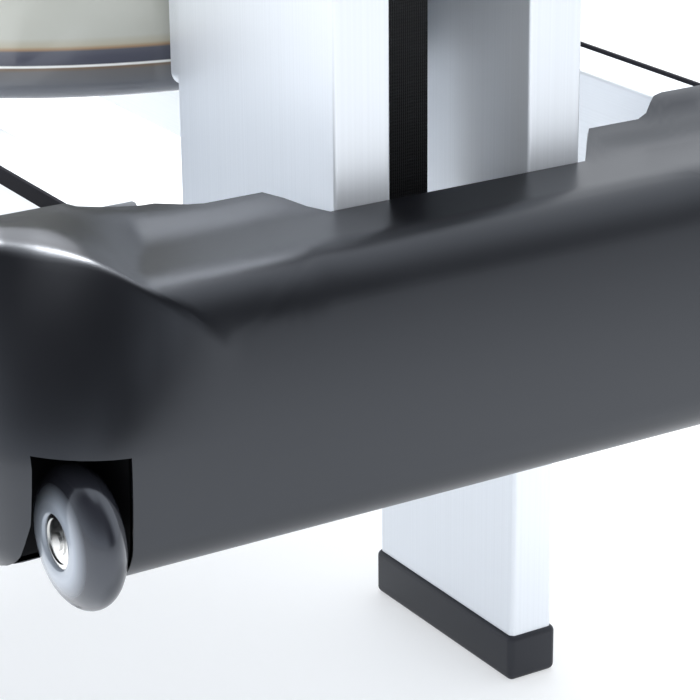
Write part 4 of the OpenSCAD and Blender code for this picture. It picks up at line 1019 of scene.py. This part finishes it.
@dataclass
class SeatPad:
    """Foam seat cushion: vinyl cover drawn in at the base, a piped seam and two shallow hollows.

    Rings are given as shares of the cushion's outline, and where it matters of its height.
    """

    low: Vector
    high: Vector
    power: float = 3.2
    around: int = 120
    dish: float = 5.5
    hollow: tuple[float, float] = (0.058, -0.012)
    hollow_spread: tuple[float, float] = (0.042, 0.052)
    rim: float = 0.86
    seam: tuple[float, float] = (0.984, 0.30)
    bead: float = 0.0017
    under: tuple[float, ...] = (0.001, 0.3, 0.6, 0.85, 0.9)
    wall: tuple[tuple[float, float], ...] = (
        (0.955, 0.02), (0.977, 0.07), (0.987, 0.16), (0.992, 0.25), (0.986, 0.285), (0.984, 0.30),
        (0.987, 0.315), (0.995, 0.36))
    crown: tuple[float, ...] = (
        0.875, 0.85, 0.82, 0.78, 0.72, 0.66, 0.59, 0.52, 0.45, 0.38, 0.31, 0.24, 0.17, 0.1, 0.04, 0.001)

    def edge(self, angle: float) -> tuple[float, float]:
        """Return the cushion's outline at an angle, in metres from its middle."""
        a, b = (self.high.x - self.low.x) / 2, (self.high.y - self.low.y) / 2
        c, d = math.cos(angle), math.sin(angle)
        reach = ((abs(c) / a) ** self.power + (abs(d) / b) ** self.power) ** (-1 / self.power)
        return reach * c, reach * d

    def ring(self, share: float, z: float) -> list[Point]:
        """Return one ring of the cushion at a share of its outline and a height."""
        middle = (self.low + self.high) / 2
        (hollow_x, hollow_y), (wide, deep) = self.hollow, self.hollow_spread
        points = []
        for i in range(self.around):
            x, y = self.edge(2 * math.pi * i / self.around)
            x, y = x * share, y * share
            drop = 0.0
            if share < self.rim:
                hollow = sum(
                    math.exp(-(((x - side * hollow_x) / wide) ** 2) - ((y - hollow_y) / deep) ** 2)
                    for side in (-1, 1))
                drop = min(1.0, (self.rim - share) * 5) * self.dish * MM * (0.25 + 0.75 * min(hollow, 1.0))
            points.append((middle.x + x, middle.y + y, z - drop))
        return [*points, points[0]]

    def build(self, cover: bpy.types.Material, trim: bpy.types.Material) -> None:
        """Build the cover and its piping."""
        low, high = self.low, self.high
        base, height = low.z + 0.0002, high.z - low.z - 0.0004
        rows = [self.ring(s, base) for s in self.under]
        rows += [self.ring(s, base + t * height) for s, t in self.wall]
        for a in range(8, 89, 8):
            c, d = math.cos(math.radians(a)), math.sin(math.radians(a))
            rows.append(self.ring(0.895 + 0.1 * c, base + height * (0.37 + 0.63 * d)))
        rows += [self.ring(s, base + height) for s in self.crown]
        pad = Modeller.drape("seat_pad", rows)
        Modeller.modifier(pad, "SUBSURF", levels=1)
        Modeller.soften(pad, 60)
        Modeller.settle(pad, Body.SEAT, cover, "seat_vinyl", ["seat_cushion"])
        shrink, level = self.seam[0], base + self.seam[1] * height
        turns = [math.radians(a) for a in range(0, 361, 45)]
        rows = []
        for i in range(self.around + 1):
            x, y = self.edge(2 * math.pi * i / self.around)
            out = Vector((x, y, 0)).normalized()
            core = Vector(((low.x + high.x) / 2 + x * shrink, (low.y + high.y) / 2 + y * shrink, level))
            rows.append([
                tuple(core + out * self.bead * math.cos(a) + Vector((0, 0, self.bead * math.sin(a))))
                for a in turns])
        piping = Modeller.drape("seat_piping", rows)
        Modeller.soften(piping, 60)
        Modeller.settle(piping, Body.SEAT, trim, "seat_vinyl")


@dataclass
class FootCaps:
    """Moulded foot caps with rounded corners and a softened lip, in metres."""

    leg: float = 0.150
    slack: float = 0.0002
    sole: float = 0.0062
    corner: float = 0.0042
    lip: float = 0.0022

    def build(self, material: bpy.types.Material) -> None:
        """Build the four caps from one modelled cap."""
        low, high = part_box("foot_caps")
        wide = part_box("legs")
        cap_x = (high.x - wide[1].x) * 2 + (wide[1].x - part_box("rail_right")[1].x)
        made = []
        rim = high.z
        inner = (wide[1].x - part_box("rail_right")[1].x) + self.slack
        tube = self.leg + self.slack
        for x_side in (1, -1):
            for y0, y1 in self.ends(low.y, high.y):
                x_mid = x_side * (high.x - cap_x / 2)
                y_mid = (y0 + y1) / 2
                cap = Modeller.box("foot_cap", (x_mid - cap_x / 2, y0, low.z), (x_mid + cap_x / 2, y1, rim))
                self.shape(cap)
                Modeller.modifier(cap, "BEVEL", width=self.lip, segments=4, limit_method="ANGLE")
                hollow = Modeller.box(
                    "hollow", (x_mid - inner / 2, y_mid - tube / 2, self.sole),
                    (x_mid + inner / 2, y_mid + tube / 2, rim + 0.01))
                Modeller.modifier(hollow, "BEVEL", width=0.003, segments=4, limit_method="ANGLE")
                Modeller.cut(cap, hollow)
                made.append(cap)
        caps = Modeller.join(made, "foot_caps_moulded")
        Modeller.soften(caps, 35)
        Modeller.settle(caps, Body.FRAME, material, "black_rubber", ["foot_caps"])

    def ends(self, low: float, high: float) -> list[tuple[float, float]]:
        """Return the lengthwise extents of the front and rear caps."""
        length = self.leg + 2 * (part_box("foot_caps")[1].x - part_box("legs")[1].x)
        return [(low, low + length), (high - length, high)]

    def shape(self, cap: bpy.types.Object) -> None:
        """Round the cap's upright corners in edit mode."""
        Modeller.choose(cap)
        for edge in cap.data.edges:
            a, b = (cap.data.vertices[v].co for v in edge.vertices)
            edge.select = abs(a.z - b.z) > 0.01
        bpy.ops.object.mode_set(mode="EDIT")
        bpy.ops.mesh.select_mode(type="EDGE")
        bpy.ops.mesh.bevel(offset=self.corner, segments=6)
        bpy.ops.object.mode_set(mode="OBJECT")


@dataclass
class Studio:
    """Camera, floor and light.

    The camera's place is in millimetres from the uprights' front plane, and its angles are in degrees.
    """

    place: tuple[float, float, float] = (-676.74, -1003.28, 784.14)
    heading: float = 31.51
    pitch: float = 20.86
    roll: float = -0.56
    lens: float = 138.82
    side: float = 0.62

    def camera(self, datum: Datum) -> None:
        """Place the camera where the photographer stood."""
        data = bpy.data.cameras.new("camera")
        data.lens = self.lens
        data.sensor_width = 36.0
        data.clip_start = 0.05
        data.clip_end = 60.0
        item = bpy.data.objects.new("camera", data)
        turn = math.radians(self.heading)
        tip = math.radians(self.pitch)
        ahead = Vector((math.sin(turn) * math.cos(tip), math.cos(turn) * math.cos(tip), -math.sin(tip)))
        right = Vector((math.cos(turn), -math.sin(turn), 0))
        up = right.cross(ahead)
        lean = math.radians(self.roll)
        side = right * math.cos(lean) + up * math.sin(lean)
        above = up * math.cos(lean) - right * math.sin(lean)
        item.matrix_world = Matrix.Translation(datum.at(*self.place)) @ Matrix(
            (side, above, -ahead)).transposed().to_4x4()
        bpy.context.scene.collection.objects.link(item)
        bpy.context.scene.camera = item

    def floor(self) -> None:
        """Lay a large pale floor."""
        Modeller.clear_selection()
        bpy.ops.mesh.primitive_plane_add(size=60.0, location=(0, 0, 0))
        item = bpy.context.active_object
        item.name = "floor"
        material, wires, shader = Finish("pale_floor", (0.86, 0.87, 0.88), 0.6).start(
            Specular_IOR_Level=0.1, Emission_Color=(0.97, 0.985, 1.0, 1.0), Emission_Strength=0.5)
        cloud = wires.add("TexNoise", Vector=wires.add("TexCoord").outputs["Object"], Scale=0.4)
        tone = wires.blend(cloud.outputs["Fac"], (0.50, 0.51, 0.52), (0.53, 0.54, 0.55))
        wires.join(tone, shader.inputs["Base Color"])
        item.data.materials.append(material)

    def world(self) -> None:
        """Light the set: white behind the machine and overhead, a glow on the left, and a dark room."""
        world = bpy.data.worlds.new("studio")
        bpy.context.scene.world = world
        world.use_nodes = True
        wires = Wiring(world.node_tree)
        way = wires.add("SeparateXYZ")
        wires.join(wires.add("TexCoord").outputs["Generated"], way.inputs[0])
        across = wires.math("MULTIPLY", way.outputs["X"], -self.side)
        along = wires.math("MULTIPLY", way.outputs["Y"], -math.sqrt(1 - self.side**2))
        toward = wires.math("ADD", across, along)
        behind = wires.spread(toward, -0.1, 0.35, 0.0, 1.0)
        low = wires.spread(way.outputs["Z"], 0.99, 0.9, 0.0, 1.0)
        dark = wires.math("MULTIPLY", behind, low)
        left = wires.spread(way.outputs["X"], 0.3, -0.2, 0.0, 1.0)
        glow = wires.math("POWER", wires.spread(way.outputs["Z"], 0.85, 0.05, 0.0, 1.0), 2.0)
        room = wires.blend(wires.math("MULTIPLY", left, glow), (0.03, 0.032, 0.038), (1.0, 1.06, 1.14))
        glossy = wires.blend(dark, (1.28, 1.33, 1.4), room)
        rays = wires.add("LightPath")
        soft = wires.blend(rays.outputs["Is Diffuse Ray"], glossy, (1.06, 1.08, 1.11))
        seen = wires.math("MAXIMUM", rays.outputs["Is Camera Ray"], rays.outputs["Is Transmission Ray"])
        background = world.node_tree.nodes["Background"]
        wires.join(wires.blend(seen, soft, (1.0, 1.0, 1.0)), background.inputs["Color"])
        background.inputs["Strength"].default_value = 1.0

    def lamp(
        self, name: str, place: Point, aim: Point, size: tuple[float, float], power: float
    ) -> bpy.types.Object:
        """Hang a soft rectangular lamp, in metres and watts."""
        data = bpy.data.lights.new(name, "AREA")
        data.shape = "RECTANGLE"
        data.size, data.size_y = size
        data.energy = power
        item = bpy.data.objects.new(name, data)
        item.location = place
        item.rotation_euler = (Vector(aim) - Vector(place)).to_track_quat("-Z", "Y").to_euler()
        bpy.context.scene.collection.objects.link(item)
        return item

    def build(self, datum: Datum) -> None:
        """Set up the whole studio."""
        self.camera(datum)
        self.floor()
        self.world()
        self.lamp("overhead", (0.3, 0.3, 2.6), aim=(0, -0.7, 0.3), size=(2.4, 2.4), power=30.0)
        self.lamp(
            "softbox", datum.at(-330, 900, 2350), aim=datum.at(-220, -10, 410), size=(0.8, 0.8), power=78.0)
        fill = self.lamp(
            "fill", datum.at(-1500, -2200, 900), aim=datum.at(0, 0, 380), size=(1.6, 1.6), power=13.0)
        fill.visible_glossy = False
        bpy.context.scene.view_settings.view_transform = "Standard"


def main() -> None:
    """Build and dress the machine, in order."""
    logging.basicConfig(level=logging.INFO, format="%(relativeCreated)d %(message)s")
    datum = Datum.read()
    Studio().build(datum)
    finishes = Finishes().dress_nodes()
    Bumper(datum).build(finishes["bumper"], finishes["liner"])
    Castors().build()
    SeatPad(*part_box("seat_cushion")).build(finishes["vinyl"], finishes["black_rubber"])
    FootCaps().build(finishes["black_rubber"])


if __name__ == "__main__":
    main()
